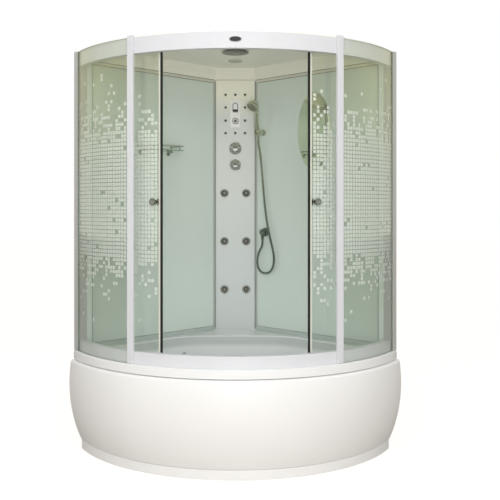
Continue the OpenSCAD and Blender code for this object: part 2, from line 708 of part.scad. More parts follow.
// Valves behind the column, their escutcheons and the two knobs
module valve(z, boss_y, boss_x) translate([0, 0, z]) difference() {
    union() {
        translate([0, face_y + column_wall + eps, 0]) rotate([-90, 0, 0]) cylinder(r = valve_r, h = valve_l);
        translate([0, face_y, 0]) rotate([-90, 0, 0]) cylinder(r = 17.5, h = 10);
        translate([-boss_x, boss_y, 0]) rotate([0, 90, 0]) cylinder(r = 10, h = 2 * boss_x);
    }
    translate([0, face_y - 1, 0]) rotate([-90, 0, 0]) cylinder(r = spindle_r + fit, h = 31);
}
module mixer_valve() color("goldenrod") valve(mixer_z, inlet_y, 30);
module diverter_valve() color("goldenrod") {
    valve(diverter_z, pipe_y, 34);
    difference() {
        translate([0, pipe_y, diverter_z - 34]) cylinder(r = 10, h = 20);
        translate([0, face_y - 1, diverter_z]) rotate([-90, 0, 0]) cylinder(r = valve_r - 1, h = 80);
    }
}
module escutcheons() color("silver")
    for (k = [[mixer_z, mixer_r], [diverter_z, diverter_r]])
        translate([0, face_y, k[0]]) forward() rotate_extrude() polygon([
            [spindle_r + 3, 0], [k[1] + 4, 0], [k[1] + 4, 1.5], [k[1] + 1, 4], [spindle_r + 3, 4]]);
module valve_knob(r, l, lever_a) forward() {
    translate([0, 0, -26]) cylinder(r = spindle_r, h = 40);
    translate([0, 0, 4 + run_gap]) rotate_extrude() polygon(concat(
        [[0, 0], [r * 0.96, 0], [r, 2]],
        arc(r - 6, l * 0.62, 6, 0, 60, 4),
        arc(r * 0.5, l - 8, 8, 60, 90, 4), [[0, l]]));
    rotate([0, 0, lever_a]) translate([r - 6, 0, 4 + l * 0.4]) rotate([0, 90, 0])
        cylinder(r1 = 6, r2 = 4.5, h = 14);
}
module mixer_knob() color("silver") translate([0, face_y, mixer_z]) valve_knob(mixer_r, 34, 60);
module diverter_knob() color("silver")
    translate([0, face_y, diverter_z]) valve_knob(diverter_r, 30, -45);

// Pipes behind the column, the inlets' threaded ends and the pipe over the roof
overhead_y = corner_y - overhead_from_corner;
roof_pipe_z = cabin_h + 8;
module pipe_set() color("gainsboro") {
    for (x = [-jet_x, jet_x]) {
        pipe([[x, pipe_y, jet_z - 14], [x, pipe_y, diverter_z],
            [sign(x) * 34, pipe_y, diverter_z]], 8);
        for (k = [0 : 2])
            pipe([[x, pipe_y, jet_z + k * jet_pitch], [x, face_y + 30, jet_z + k * jet_pitch]], 6);
    }
    for (x = [-inlet_x, inlet_x]) {
        pipe([[sign(x) * 30, inlet_y, mixer_z], [x, inlet_y, mixer_z], [x, inlet_y, inlet_z],
            [x, inlet_y + 12, inlet_z]], 8);
        translate([x, inlet_y + 12, inlet_z]) rotate([-90, 0, 0])
            cylinder(r = inlet_stub_r, h = inlet_end_y - inlet_y - 12);
    }
    pipe([[-jet_x, pipe_y, diverter_z - 4], [-jet_x, pipe_y, roof_pipe_z],
        [0, overhead_y, roof_pipe_z], [0, overhead_y, cabin_h - roof_wall - 3]], 8);
    pipe([[jet_x, pipe_y, elbow_z],
        wall_point([wall_s0 - column_flange - 16, -pipe_off_wall, elbow_z]),
        wall_point([elbow_s - 12, -pipe_off_wall, elbow_z])], 4.5);
    pipe([[0, pipe_y, diverter_z - 34], [0, pipe_y, deck_h - 80], filler_tail], 7);
}
filler_tail = bowl_point(filler_a, filler_z) - 46 * bowl_normal(filler_a, filler_z);
module bath_filler() color("silver") on_bowl(filler_a, filler_z) {
    translate([0, 0, 3]) cylinder(r1 = 18, r2 = 14, h = 5);
    translate([0, 0, -38]) cylinder(r = filler_hole_r - 0.3, h = 42);
    translate([0, 0, -tub_wall - 12]) cylinder(r = 17, h = 6, $fn = 6);
}

// Fittings on the right wall
module hose_elbow() color("silver") right_wall() translate([elbow_s, -panel_face, elbow_z]) {
    rotate([90, 0, 0]) rotate_extrude() polygon(concat(
        [[0, 0], [28, 0], [28, 3]], arc(14, 3, 14, 0, 60, 6), [[12, 18], [0, 18]]));
    translate([0, -panel_face - 8, 0]) sphere(r = 14);
    translate([0, -panel_face - 8, -42]) cylinder(r = 8.5, h = 40);
    translate([0, -panel_face - 8, -30]) cylinder(r = 11, h = 14, $fn = 6);
    rotate([-90, 0, 0]) cylinder(r = 8.7, h = panel_t + 3);
    translate([0, panel_t + eps, 0]) rotate([-90, 0, 0]) cylinder(r = 12, h = 10);
}
module hose_form() {
    route = [for (p = hose_route) wall_point(p)];
    counts = [for (k = [0 : len(route) - 2]) max(1, round(norm(route[k + 1] - route[k]) / rib_pitch))];
    path = concat([for (k = [0 : len(route) - 2]) for (i = [0 : 2 * counts[k] - 1])
        smooth(route, k, i / 2 / counts[k])], [route[len(route) - 1]]);
    off_wall = [-half, -half, 0];
    n = len(path);
    function ring(i, r) =
        let (t = i == 0 ? [0, 0, -1]
                : i == n - 1 ? unit(path[n - 1] - path[n - 2])
                : unit(path[i + 1] - path[i - 1]),
            u = unit(off_wall - (off_wall * t) * t), v = cross(t, u))
        [for (j = [0 : 7]) path[i] + r * (cos(45 * j) * u + sin(45 * j) * v)];
    inner = [for (i = [0 : 4 : n - 1]) i];
    bore = inner[len(inner) - 1] == n - 1 ? inner : concat(inner, [n - 1]);
    m = len(bore);
    points = concat(
        [for (i = [0 : n - 1]) each ring(i, hose_r - (i % 2 == 0 ? rib_depth : 0))],
        [for (i = bore) each ring(i, hose_bore_r)]);
    b = 8 * n;
    e = b + 8 * (m - 1);
    function turn(j) = (j + 1) % 8;
    polyhedron(points, concat(
        [for (i = [0 : n - 2]) for (j = [0 : 7])
            [8 * i + j, 8 * i + 8 + j, 8 * i + 8 + turn(j), 8 * i + turn(j)]],
        [for (i = [0 : m - 2]) for (j = [0 : 7])
            [b + 8 * i + turn(j), b + 8 * i + 8 + turn(j), b + 8 * i + 8 + j, b + 8 * i + j]],
        [for (j = [0 : 7]) [turn(j), b + turn(j), b + j, j]],
        [for (j = [0 : 7]) [8 * n - 8 + j, e + j, e + turn(j), 8 * n - 8 + turn(j)]]));
    echo(hose_length = path_length(path), hose_rings = n);
}
module shower_hose() color("silver") hose_form();
// The holder's clip turns on a cross pin in the bracket's knuckle
pivot_y = handle_y + 27;
pin_r = 4;
clip_gap = 6.3;
module at_holder() right_wall() translate([handset_s, 0, holder_z]) children();
module handset_bracket() color("silver") at_holder() difference() {
    union() {
        translate([0, -panel_face, 0]) rotate([90, 0, 0]) rotate_extrude()
            polygon([[0, 0], [20, 0], [20, 4], [14, 8], [0, 8]]);
        translate([0, -panel_face, 0]) rotate([90, 0, 0])
            cylinder(r = 5, h = -pivot_y - panel_face);
        translate([-6, pivot_y, 0]) rotate([0, 90, 0]) cylinder(r = 9, h = 12);
    }
    translate([-10, pivot_y, 0]) rotate([0, 90, 0]) cylinder(r = pin_r + fit, h = 20);
}
module lean() translate([0, handle_y, 0]) rotate([handset_lean, 0, 0]) children();
module handset_clip() color("silver") at_holder() {
    difference() {
        union() {
            lean() translate([0, 0, -16]) cylinder(r1 = 17, r2 = 19, h = 32);
            for (x = [-clip_gap - 6, clip_gap])
                translate([x, pivot_y, 0]) rotate([0, 90, 0]) {
                    cylinder(r = 9, h = 6);
                    translate([-9, -14, 0]) cube([18, 14, 6]);
                }
        }
        lean() translate([0, 0, -17]) cylinder(r1 = 11.2, r2 = 13.2, h = 34);
        lean() translate([-6, -40, -20]) cube([12, 40, 40]);
        translate([-clip_gap, pivot_y - 11, -40]) cube([2 * clip_gap, 22, 80]);
    }
    translate([-clip_gap - 6, pivot_y, 0]) rotate([0, 90, 0]) cylinder(r = pin_r, h = 2 * clip_gap + 12);
}
module spray_head() translate([0, -16, 172]) rotate([131, 0, 0]) children();
module handset() color("silver") at_holder() lean() {
    difference() {
        union() {
            rotate_extrude() polygon([
                [0, -handle_end], [9, -handle_end], [10, -handle_end + 2], [10, -30],
                [10, -17], [10.9, -17], [12.9, 17], [13.4, 22], [12.2, 60], [12.8, 110],
                [14, 140], [0, 150]]);
            translate([0, 0, 136]) {
                sphere(r = 13.5);
                rotate([14, 0, 0]) cylinder(r1 = 13.5, r2 = 15, h = 42);
            }
            spray_head() rotate_extrude() polygon(concat(
                [[0, 28], [34, 28], [37, 26]], arc(25, 12, 13, 30, 0, 2),
                [[33, 0], [22, -16], [12, -23], [0, -25]]));
        }
        translate([0, 0, -handle_end - 1]) cylinder(r = hose_bore_r, h = 30);
    }
}
module mirror_plate() right_wall() translate([mirror_s, -panel_face, mirror_z]) rotate([90, 0, 0])
    linear_extrude(4) polygon([for (i = [0 : 71])
        [mirror_w / 2 * cos(5 * i), mirror_h / 2 * sin(5 * i)]]);

// Glass shelf with its brackets and gallery rail on the left wall
shelf_t = 6;
module shelf_glass() color([0.75, 0.88, 0.8, 0.5]) left_wall()
    translate([shelf_s - shelf_l / 2, -panel_face - shelf_d, shelf_z]) cube([shelf_l, shelf_d - 2, shelf_t]);
module shelf_frame() color("silver") left_wall() translate([shelf_s, -panel_face, shelf_z]) {
    rail_z = shelf_t + 22;
    bracket_x = shelf_l / 2 - 30;
    for (x = [-bracket_x, bracket_x]) translate([x, 0, 0]) {
        translate([0, 0, -13]) rotate([90, 0, 0]) cylinder(r = 12, h = 6);
        translate([-6, -40, -8]) cube([12, 40, 8]);
        translate([0, -shelf_d + 12, shelf_t]) cylinder(r = 4, h = rail_z - shelf_t);
    }
    for (x = [-1, 1]) {
        translate([x * (shelf_l / 2 - 4), 0, rail_z]) rotate([90, 0, 0]) cylinder(r = 4, h = shelf_d - 12);
        translate([x * (shelf_l / 2 - 4), 0, rail_z]) rotate([90, 0, 0]) cylinder(r = 9, h = 4);
        translate([x * (shelf_l / 2 - 4), -shelf_d + 12, rail_z]) sphere(r = 4);
    }
    translate([-shelf_l / 2 + 4, -shelf_d + 12, rail_z]) rotate([0, 90, 0])
        cylinder(r = 4, h = shelf_l - 8);
}

// Roof shell: a shallow dome with a collar that stands on the walls and the column
module roof_layer(inset, r, z, h) translate([0, 0, z]) linear_extrude(h)
    intersection() {
        plan(inset, r, column_face - (wall_d - inset) * 0.4);
        translate([-big / 2, -big / 2]) square([big, big]);
    }
module roof() color("#e8e6de") difference() {
    union() {
        hull() {
            roof_layer(1, rail_out - 2, top_rail_z1, roof_wall);
            roof_layer(8, roof_top_r + 5, cabin_h - 1, 1);
        }
        roof_layer(wall_d + 1, track_r - rail_lip - 1, wall_top, top_rail_z1 - wall_top + 1);
    }
    hull() {
        roof_layer(wall_d + 6, rail_out - 40, wall_top - 1, top_rail_z1 - wall_top + 1);
        roof_layer(wall_d + 6, roof_top_r, cabin_h - roof_wall - 1, 1);
    }
    translate([-jet_x, pipe_y, wall_top - 1]) cylinder(r = 10, h = 200);
    translate([0, overhead_y, cabin_h - 40]) cylinder(r = 8.5, h = 80);
}
module overhead_shower() color("gray") translate([0, overhead_y, cabin_h - roof_wall]) {
    rotate_extrude($fn = 72) polygon([
        [0, -3.5], [14, -3.5], [14, -3], [30, -8], [overhead_r - 5, -14], [overhead_r, -17],
        [overhead_r, -20], [overhead_r - 4, -22], [0, -22]]);
    rotate_extrude() polygon([[8.6, 0], [22, 0], [20, -6], [8.6, -6]]);
}
module ceiling_lamp() color("whitesmoke")
    translate([0, corner_y - lamp_from_corner, cabin_h - roof_wall])
        rotate_extrude() polygon([[0, 0], [lamp_r, 0], [lamp_r, -4], [lamp_r - 5, -8],
            [lamp_r - 8, -6], [lamp_r - 16, -10], [0, -12]]);

// Waste with its rising plug, bottle trap, overflow and outlet pipe
plug_stem_r = 3;
waste_top = bowl_floor_z + 3;
module waste_body() color("silver") translate([0, waste_y, 0]) difference() {
    union() {
        translate([0, 0, bowl_floor_z]) cylinder(r = waste_r + 10, h = 3);
        translate([0, 0, 100]) cylinder(r = waste_r, h = bowl_floor_z - 99);
        translate([0, 0, bowl_floor_z - tub_wall - 8]) cylinder(r = waste_r + 7, h = 8);
    }
    translate([0, 0, 99]) difference() {
        cylinder(r = waste_r - 3, h = 100);
        for (a = [0, 90]) rotate([0, 0, a])
            translate([-waste_r, -2, 8]) cube([2 * waste_r, 4, 20]);
        translate([0, 0, 8]) cylinder(r = 6, h = 20);
    }
    translate([0, 0, 90]) cylinder(r = plug_stem_r + fit, h = 60);
}
module waste_plug() color("silver") translate([0, waste_y, waste_top + run_gap]) {
    rotate_extrude() polygon([[0, 0], [waste_r + 3, 0], [waste_r + 3, 2], [waste_r - 2, 5], [0, 6]]);
    translate([0, 0, -42]) cylinder(r = plug_stem_r, h = 43);
}
trap_r = 34;
outlet_z = 62;
outlet_end_y = corner_y - 60;
spigot_l = 50;
overflow_low = bowl_point(overflow_a, bowl_floor_z + 15, tub_wall) + [0, 52, 0];
overflow_back = bowl_point(overflow_a, overflow_z) - 48 * bowl_normal(overflow_a, overflow_z);
module waste_trap() color("whitesmoke") {
    translate([0, waste_y, 0]) {
        translate([0, 0, 32]) cylinder(r = trap_r, h = 58);
        translate([0, 0, 90]) cylinder(r = waste_r + 2, h = 10);
        rotate([-90, 0, 0]) translate([0, -outlet_z, trap_r - 8])
            cylinder(r = outlet_r - 2, h = outlet_end_y - waste_y - trap_r + 8);
        translate([0, outlet_end_y - waste_y - spigot_l, outlet_z]) rotate([-90, 0, 0])
            cylinder(r = outlet_r, h = spigot_l);
    }
    pipe([[0, waste_y + 20, 78], [0, waste_y + 60, 90], overflow_low, overflow_back], 11);
    on_bowl(overflow_a, overflow_z) difference() {
        union() {
            translate([0, 0, -48]) cylinder(r = 15, h = 50);
            translate([0, 0, -tub_wall - 4]) cylinder(r = 26, h = 3.5);
            translate([0, 0, 0.5]) cylinder(r = 26, h = 3);
        }
        translate([0, 0, -30]) cylinder(r = spindle_r + fit, h = 40);
    }
}
module waste_knob() color("silver") on_bowl(overflow_a, overflow_z) {
    translate([0, 0, -26]) cylinder(r = spindle_r, h = 36);
    translate([0, 0, 3.5 + run_gap]) rotate_extrude() polygon([
        [0, 0], [30, 0], [32, 2], [32, 8], [29, 11], [12, 12], [0, 12]]);
    translate([-4, -22, 14]) cube([8, 44, 5]);
}

support_frame();
levelling_feet();
plinth();
apron();
tub();
bottom_rail();
top_rail();
posts();
wall_profiles();
fixed_glass_left();
fixed_glass_right();
wall_frames();
wall_panel_left();
wall_panel_right();
column();
control_plate();
control_module();
escutcheons();
mixer_valve();
diverter_valve();
jet_bodies();
jet_bezels();
spray_nozzles();
pipe_set();
bath_filler();
hose_elbow();
shower_hose();
handset_bracket();
color("lightblue") mirror_plate();  // mirror
shelf_glass();
shelf_frame();
roof();
overhead_shower();
ceiling_lamp();
waste_body();
waste_trap();
door_glass_left();
door_seal_left();
door_knob_left();
roller_hubs_left();
door_glass_right();
door_seal_right();
door_knob_right();
roller_hubs_right();
wheel(-1, true, 0);  // wheel_top_left_a
wheel(-1, true, 1);  // wheel_top_left_b
wheel(-1, false, 0);  // wheel_bottom_left_a
wheel(-1, false, 1);  // wheel_bottom_left_b
wheel(1, true, 0);  // wheel_top_right_a
wheel(1, true, 1);  // wheel_top_right_b
wheel(1, false, 0);  // wheel_bottom_right_a
wheel(1, false, 1);  // wheel_bottom_right_b
mixer_knob();
diverter_knob();
power_button();
waste_knob();
waste_plug();
handset_clip();
handset();
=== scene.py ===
import math
import random

import bmesh
import bpy
from mathutils import Matrix, Vector


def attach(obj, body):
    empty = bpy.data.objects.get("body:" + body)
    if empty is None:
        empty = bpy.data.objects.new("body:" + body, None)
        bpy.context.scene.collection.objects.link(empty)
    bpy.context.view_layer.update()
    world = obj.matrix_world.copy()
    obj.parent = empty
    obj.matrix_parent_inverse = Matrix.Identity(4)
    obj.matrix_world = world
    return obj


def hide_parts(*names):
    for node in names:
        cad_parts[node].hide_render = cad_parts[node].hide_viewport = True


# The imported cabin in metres: +Z is up, the room corner is on +Y and the curved front faces -Y
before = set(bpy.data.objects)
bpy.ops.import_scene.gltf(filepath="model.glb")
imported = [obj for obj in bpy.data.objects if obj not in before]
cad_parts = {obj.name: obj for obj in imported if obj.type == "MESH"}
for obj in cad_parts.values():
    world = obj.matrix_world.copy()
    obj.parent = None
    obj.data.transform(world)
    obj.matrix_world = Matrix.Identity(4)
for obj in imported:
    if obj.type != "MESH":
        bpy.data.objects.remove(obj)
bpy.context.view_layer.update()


# Camera
# It stands in front of the cabin at the height of an adult's chest and looks level
# at its middle, with a small shift for the photograph's framing.
camera = bpy.data.objects.new("camera", bpy.data.cameras.new("camera"))
camera.data.sensor_width = 36
camera.data.lens = 57.6
camera.data.shift_x = 0.0294
camera.data.shift_y = -0.084
camera.location = (0, -4.4905, 1.31)
camera.rotation_euler = (math.radians(90), 0, 0)
bpy.context.scene.collection.objects.link(camera)
bpy.context.scene.camera = camera


# Shower hose
# A spiral-wound chromed steel hose, 14 mm thick and 1.146 m long, from the wall elbow
# in a loop down and up again to the end of the hand shower's handle.
CORNER_Y = 0.7225
HALF = math.sqrt(0.5)


def on_right_wall(along, out, height):
    """A point from its distance along the right wall, off the wall (negative) and height."""
    return Vector(((along + out) * HALF, CORNER_Y - (along - out) * HALF, height))


def on_left_wall(along, out, height):
    point = on_right_wall(along, out, height)
    return Vector((-point.x, point.y, point.z))


class Value:
    """A shader socket that can stand in sums, as masks and heights do."""

    def __init__(self, nodes, socket):
        self.nodes = nodes
        self.socket = socket

    def maths(self, operation, first, second=0.0):
        return self.nodes.node("ShaderNodeMath", {"operation": operation}, {0: first, 1: second})

    def __add__(self, other):
        return self.maths("ADD", self, other)

    def __mul__(self, other):
        return self.maths("MULTIPLY", self, other)

    def __gt__(self, other):
        return self.maths("GREATER_THAN", self, other)

    def __lt__(self, other):
        return self.maths("LESS_THAN", self, other)

    __radd__ = __add__
    __rmul__ = __mul__


class Nodes:
    """A node tree whose nodes are made with their settings and inputs in one call."""

    def __init__(self, tree):
        self.tree = tree

    def join(self, socket, value):
        if isinstance(value, Value):
            self.tree.links.new(value.socket, socket)
        elif socket.type == "RGBA":
            socket.default_value = (*value, 1)
        else:
            socket.default_value = value

    def node(self, kind, settings, inputs, output=0):
        made = self.tree.nodes.new(kind)
        for key, setting in settings.items():
            setattr(made, key, setting)
        for key, value in inputs.items():
            self.join(made.inputs[key], value)
        return Value(self, made.outputs[output])

    def ramp(self, value, low, high):
        """0 below low, 1 above high."""
        return self.node("ShaderNodeMapRange", {}, {"Value": value, "From Min": low, "From Max": high})

    def mixed(self, share, first, second):
        """Two shaders mixed by a share."""
        return self.node("ShaderNodeMixShader", {}, {0: share, 1: first, 2: second})


class Finish(Nodes):
    """A material round one Principled shader, with its patterns written as expressions."""

    def __init__(self, name, **sockets):
        self.material = bpy.data.materials.new(name)
        self.material.use_nodes = True
        super().__init__(self.material.node_tree)
        self.shader = self.tree.nodes["Principled BSDF"]
        self.feed(**sockets)

    def feed(self, **sockets):
        for name, value in sockets.items():
            self.join(self.shader.inputs[name.replace("_", " ")], value)

    def place(self, stretch=(1, 1, 1)):
        """The point on the piece, stretched for a pattern."""
        where = self.node("ShaderNodeTexCoord", {}, {}, "Object")
        return self.node("ShaderNodeMapping", {}, {"Vector": where, "Scale": stretch})

    def height(self):
        """How high the point on the piece is above the floor."""
        return self.node("ShaderNodeSeparateXYZ", {}, {"Vector": self.place()}, 2)

    def noise(self, scale, detail=3.0, stretch=(1, 1, 1)):
        return self.node(
            "ShaderNodeTexNoise", {}, {"Vector": self.place(stretch), "Scale": scale, "Detail": detail})

    def drawn_lines(self):
        """Fine upright lines, as an aluminium bar has from its die."""
        return self.noise(60, 3, (12, 12, 0.15))

    def blend(self, share, first, second):
        return self.node(
            "ShaderNodeMix", {"data_type": "RGBA"}, {0: share, 6: first, 7: second}, 2)

    def bump(self, height, depth, strength):
        self.feed(Normal=self.node(
            "ShaderNodeBump", {}, {"Height": height, "Distance": depth, "Strength": strength}))


def fitted(bm, name, finishes, stands_for="", body="cabin", edge=0.0, smooth=32):
    """One finished piece: its mesh, finish, rounded edges and the body that it rides on."""
    bmesh.ops.remove_doubles(bm, verts=bm.verts, dist=1e-6)
    bmesh.ops.recalc_face_normals(bm, faces=bm.faces)
    mesh = bpy.data.meshes.new(name)
    bm.to_mesh(mesh)
    bm.free()
    mesh.shade_smooth()
    mesh.set_sharp_from_angle(angle=math.radians(smooth))
    piece = bpy.data.objects.new(name, mesh)
    bpy.context.scene.collection.objects.link(piece)
    for finish in finishes if isinstance(finishes, list) else [finishes]:
        mesh.materials.append(finish.material)
    if edge:
        bevel = piece.modifiers.new("rounded_edges", "BEVEL")
        bevel.width = edge
        bevel.segments = 2
        bevel.limit_method = "ANGLE"
        bevel.angle_limit = math.radians(smooth)
        bevel.harden_normals = True
    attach(piece, body)
    if stands_for:
        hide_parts(stands_for)
    return piece


def skin(rows):
    """A mesh over rows of points that all have the same count, each row closed on itself."""
    bm = bmesh.new()
    columns = len(rows[0])
    bmesh.ops.create_grid(bm, x_segments=columns, y_segments=len(rows) - 1, size=1)
    bm.verts.ensure_lookup_table()
    for vert in bm.verts:
        row, column = divmod(vert.index, columns + 1)
        vert.co = rows[row][column % columns]
    bmesh.ops.remove_doubles(bm, verts=bm.verts, dist=1e-6)
    bmesh.ops.holes_fill(bm, edges=bm.edges, sides=0)
    return bm


HOSE_RIB = 0.0034
hose_route = [on_right_wall(*p) for p in [
    (0.287, -0.048, 1.118), (0.287, -0.048, 1.098), (0.281, -0.048, 1.070),
    (0.258, -0.047, 1.035), (0.241, -0.045, 0.990), (0.243, -0.043, 0.945),
    (0.266, -0.042, 0.915), (0.304, -0.042, 0.905), (0.342, -0.042, 0.915),
    (0.370, -0.042, 0.950), (0.378, -0.042, 1.000), (0.366, -0.042, 1.060),
    (0.344, -0.042, 1.130), (0.320, -0.042, 1.220), (0.298, -0.040, 1.340),
    (0.282, -0.038, 1.460), (0.272, -0.042, 1.580), (0.269, -0.050, 1.650),
    (0.268, -0.06143, 1.69945), (0.268, -0.06495, 1.73297)]]


def smooth_curve(points, pieces):
    """A curve through all points, with this many straight pieces between each pair."""
    line = []
    last = len(points) - 1
    for k in range(last):
        a, b, c, d = (points[min(max(k + i, 0), last)] for i in (-1, 0, 1, 2))
        for step in range(pieces):
            t = step / pieces
            line.append(0.5 * (2 * b + (c - a) * t + (2 * a - 5 * b + 4 * c - d) * t ** 2
                               + (3 * b - a - 3 * c + d) * t ** 3))
    return line + [points[-1]]


def evenly(line, pitch):
    """Points at an even distance along a line."""
    lengths = [0.0]
    for a, b in zip(line, line[1:]):
        lengths.append(lengths[-1] + (b - a).length)
    count = round(lengths[-1] / pitch)
    points, k = [], 0
    for i in range(count + 1):
        target = lengths[-1] * i / count
        while k < len(line) - 2 and lengths[k + 1] < target:
            k += 1
        share = (target - lengths[k]) / (lengths[k + 1] - lengths[k])
        points.append(line[k].lerp(line[k + 1], share))
    return points


def hose_skin(line, radii, sides, off):
    """A ribbed tube along a line, with its radii in turn, closed at its ends."""
    rows = []
    for i, point in enumerate(line):
        ahead = (line[min(i + 1, len(line) - 1)] - line[max(i - 1, 0)]).normalized()
        across = (off - off.dot(ahead) * ahead).normalized()
        side = ahead.cross(across)
        radius = radii[i % len(radii)]
        rows.append([point + radius * (math.cos(a) * across + math.sin(a) * side)
                     for a in (2 * math.pi * j / sides for j in range(sides))])
    return skin(rows)


# The hose's chrome is painted in dark olive tones, darker below 1.1 m and lighter above 1.5 m: painted
# reflection and shade.
chrome_hose = Finish("chromed_hose", Metallic=1.0)
wear = chrome_hose.noise(300, 2)
chrome_hose.feed(
    Base_Color=chrome_hose.blend(
        chrome_hose.ramp(chrome_hose.height(), 1.1, 1.5),
        chrome_hose.blend(wear, (0.19, 0.235, 0.19), (0.32, 0.37, 0.31)),
        chrome_hose.blend(wear, (0.34, 0.37, 0.29), (0.52, 0.55, 0.45))),
    Roughness=chrome_hose.ramp(wear, -0.4, 3.2))

hose_line = evenly(smooth_curve(hose_route, 40), HOSE_RIB / 4)
shower_hose = fitted(
    hose_skin(hose_line, [0.0061, 0.0068, 0.007, 0.0068], 12, Vector((-HALF, -HALF, 0))),
    "shower_hose_wound", chrome_hose, "shower_hose", smooth=60)


# Floor, backdrop and lamps
# A plain white studio. Chrome, mirrors and glass at a slant see a graded room in it, dim
# with a bright band above level and pale sides. The lamps show only by what they light.
mesh = bpy.data.meshes.new("floor")
mesh.from_pydata([(-30, -30, 0), (30, -30, 0), (30, 30, 0), (-30, 30, 0)], [], [(0, 1, 2, 3)])
floor = bpy.data.objects.new("floor", mesh)
bpy.context.scene.collection.objects.link(floor)
floor_white = Finish("floor_white", Base_Color=(0.50, 0.46, 0.41), Roughness=0.9, Emission_Strength=0.72)
floor_white.feed(Emission_Color=floor_white.node("ShaderNodeLightPath", {}, {}, "Is Camera Ray"))
mesh.materials.append(floor_white.material)

world = bpy.data.worlds.new("studio")
world.use_nodes = True
bpy.context.scene.world = world
sky = Nodes(world.node_tree)


def background(colour, strength=1.0):
    return sky.node("ShaderNodeBackground", {}, {"Color": colour, "Strength": strength})


def ray_is(kind):
    return sky.node("ShaderNodeLightPath", {}, {}, f"Is {kind} Ray")


direction = sky.node("ShaderNodeTexCoord", {}, {}, "Generated")
across, upward = (sky.node("ShaderNodeSeparateXYZ", {}, {"Vector": direction}, axis) for axis in "XZ")
room = background((0.10, 0.115, 0.095))
for low, high, colour in ((-0.16, -0.06, (0.25, 0.27, 0.23)), (0.08, 0.14, (1.2, 1.2, 1.15)),
                          (0.28, 0.36, (0.22, 0.23, 0.2)), (0.6, 0.75, (0.6, 0.6, 0.55))):
    room = sky.mixed(sky.ramp(upward, low, high), room, background(colour))
aside = sky.ramp(across.maths("ABSOLUTE", across), 0.42, 0.72)
room = sky.mixed(aside, room, background((0.84, 0.83, 0.78)))
lit = sky.mixed(ray_is("Glossy"), background((1, 0.995, 0.98), 0.57), room)
seen = sky.mixed(ray_is("Camera"), lit, background((1, 1, 1)))
sky.join(sky.tree.nodes["World Output"].inputs["Surface"], seen)

CABIN_MIDDLE = Vector((0, 0, 1.1))
for name, place, size, power in (
        ("left_lamp", (-2.2, -3.6, 3.8), 2.4, 30),
        ("front_lamp", (0.4, -5.8, 1.9), 3.2, 110),
        ("low_lamp", (0.2, -4.6, 0.8), 1.3, 28),
        ("top_lamp", (0.5, -1.6, 4.6), 3.0, 26)):
    lamp = bpy.data.lights.new(name, "AREA")
    lamp.size = size
    lamp.energy = power
    stand = bpy.data.objects.new(name, lamp)
    stand.visible_glossy = False
    stand.location = place
    stand.rotation_euler = (CABIN_MIDDLE - Vector(place)).to_track_quat("-Z", "Y").to_euler()
    bpy.context.scene.collection.objects.link(stand)

bpy.context.scene.view_settings.view_transform = "Standard"


# Tub
# Vacuum-formed white acrylic, 6 mm thick: a deck round a deep bowl with a seat ledge in
# the corner and a turned-down rim along the curved front.
AXIS_Y = 0.2825
DECK_Z = 0.540
LIP_Z = 0.495
RIM_RADIUS = 0.978
WALL_FOOT = 0.311127
BOWL_SHIFT = 0.3
BOWL_Y = AXIS_Y - BOWL_SHIFT
BOWL_FLOOR_Z = 0.150
TUB_WALL = 0.006
SIDE_DECK = 0.062
FRONT_DECK = 0.093
SEAT_EDGE = 0.058
SQUARENESS = 12
bowl_form = [
    (0, 0, 0, 0), (0.012, 0.0012, 0.0012, 0.0012), (0.03, 0.005, 0.005, 0.005),
    (0.105, 0.020, 0.012, 0.020), (0.13, 0.032, 0.020, 0.034), (0.3, 0.046, 0.033, 0.060),
    (0.5, 0.064, 0.050, 0.092), (0.8, 0.102, 0.088, 0.158), (0.94, 0.138, 0.122, 0.208),
    (1, 0.178, 0.165, 0.260)]


def to_plane(distance, share):
    return distance / share if share > 0.05 else 100.0


def to_front(angle, radius):
    s = BOWL_SHIFT * math.sin(angle)
    return s + math.sqrt(s * s + radius * radius - BOWL_SHIFT * BOWL_SHIFT)


def bowl_point(angle, form, grow=0.0):
    """A point of the bowl's wall at one angle and one level of its form."""
    share, side, front, back = form
    reach = WALL_FOOT + BOWL_SHIFT * HALF - SIDE_DECK - side + grow
    reaches = [
        to_plane(reach, math.cos(angle - math.pi / 4)),
        to_plane(reach, math.cos(angle - 3 * math.pi / 4)),
        to_plane(BOWL_SHIFT + SEAT_EDGE - back + grow, math.sin(angle)),
        to_front(angle, RIM_RADIUS - FRONT_DECK - front + grow)]
    r = sum(v ** -SQUARENESS for v in reaches) ** (-1 / SQUARENESS)
    z = DECK_Z - share * (DECK_Z - BOWL_FLOOR_Z)
    return Vector((r * math.cos(angle), BOWL_Y + r * math.sin(angle), z))


def deck_point(angle, inset, z):
    reach = WALL_FOOT + BOWL_SHIFT * HALF - inset
    r = min(to_plane(reach, math.cos(angle - math.pi / 4)),
            to_plane(reach, math.cos(angle - 3 * math.pi / 4)),
            to_front(angle, RIM_RADIUS - inset))
    return Vector((r * math.cos(angle), BOWL_Y + r * math.sin(angle), z))


def shrunk(ring, share, z):
    """The same ring drawn in towards the bowl's middle."""
    middle = Vector((0, BOWL_Y - 0.06, z))
    return [middle + share * Vector((p.x, p.y - middle.y, 0)) for p in ring]


rim_s = WALL_FOOT + math.sqrt(RIM_RADIUS ** 2 - WALL_FOOT ** 2)
rim_end = on_right_wall(rim_s, 0, 0)
rim_angle = math.atan2(rim_end.y - BOWL_Y, rim_end.x)


def spread(start, end, count):
    return [start + (end - start) * i / count for i in range(count)]


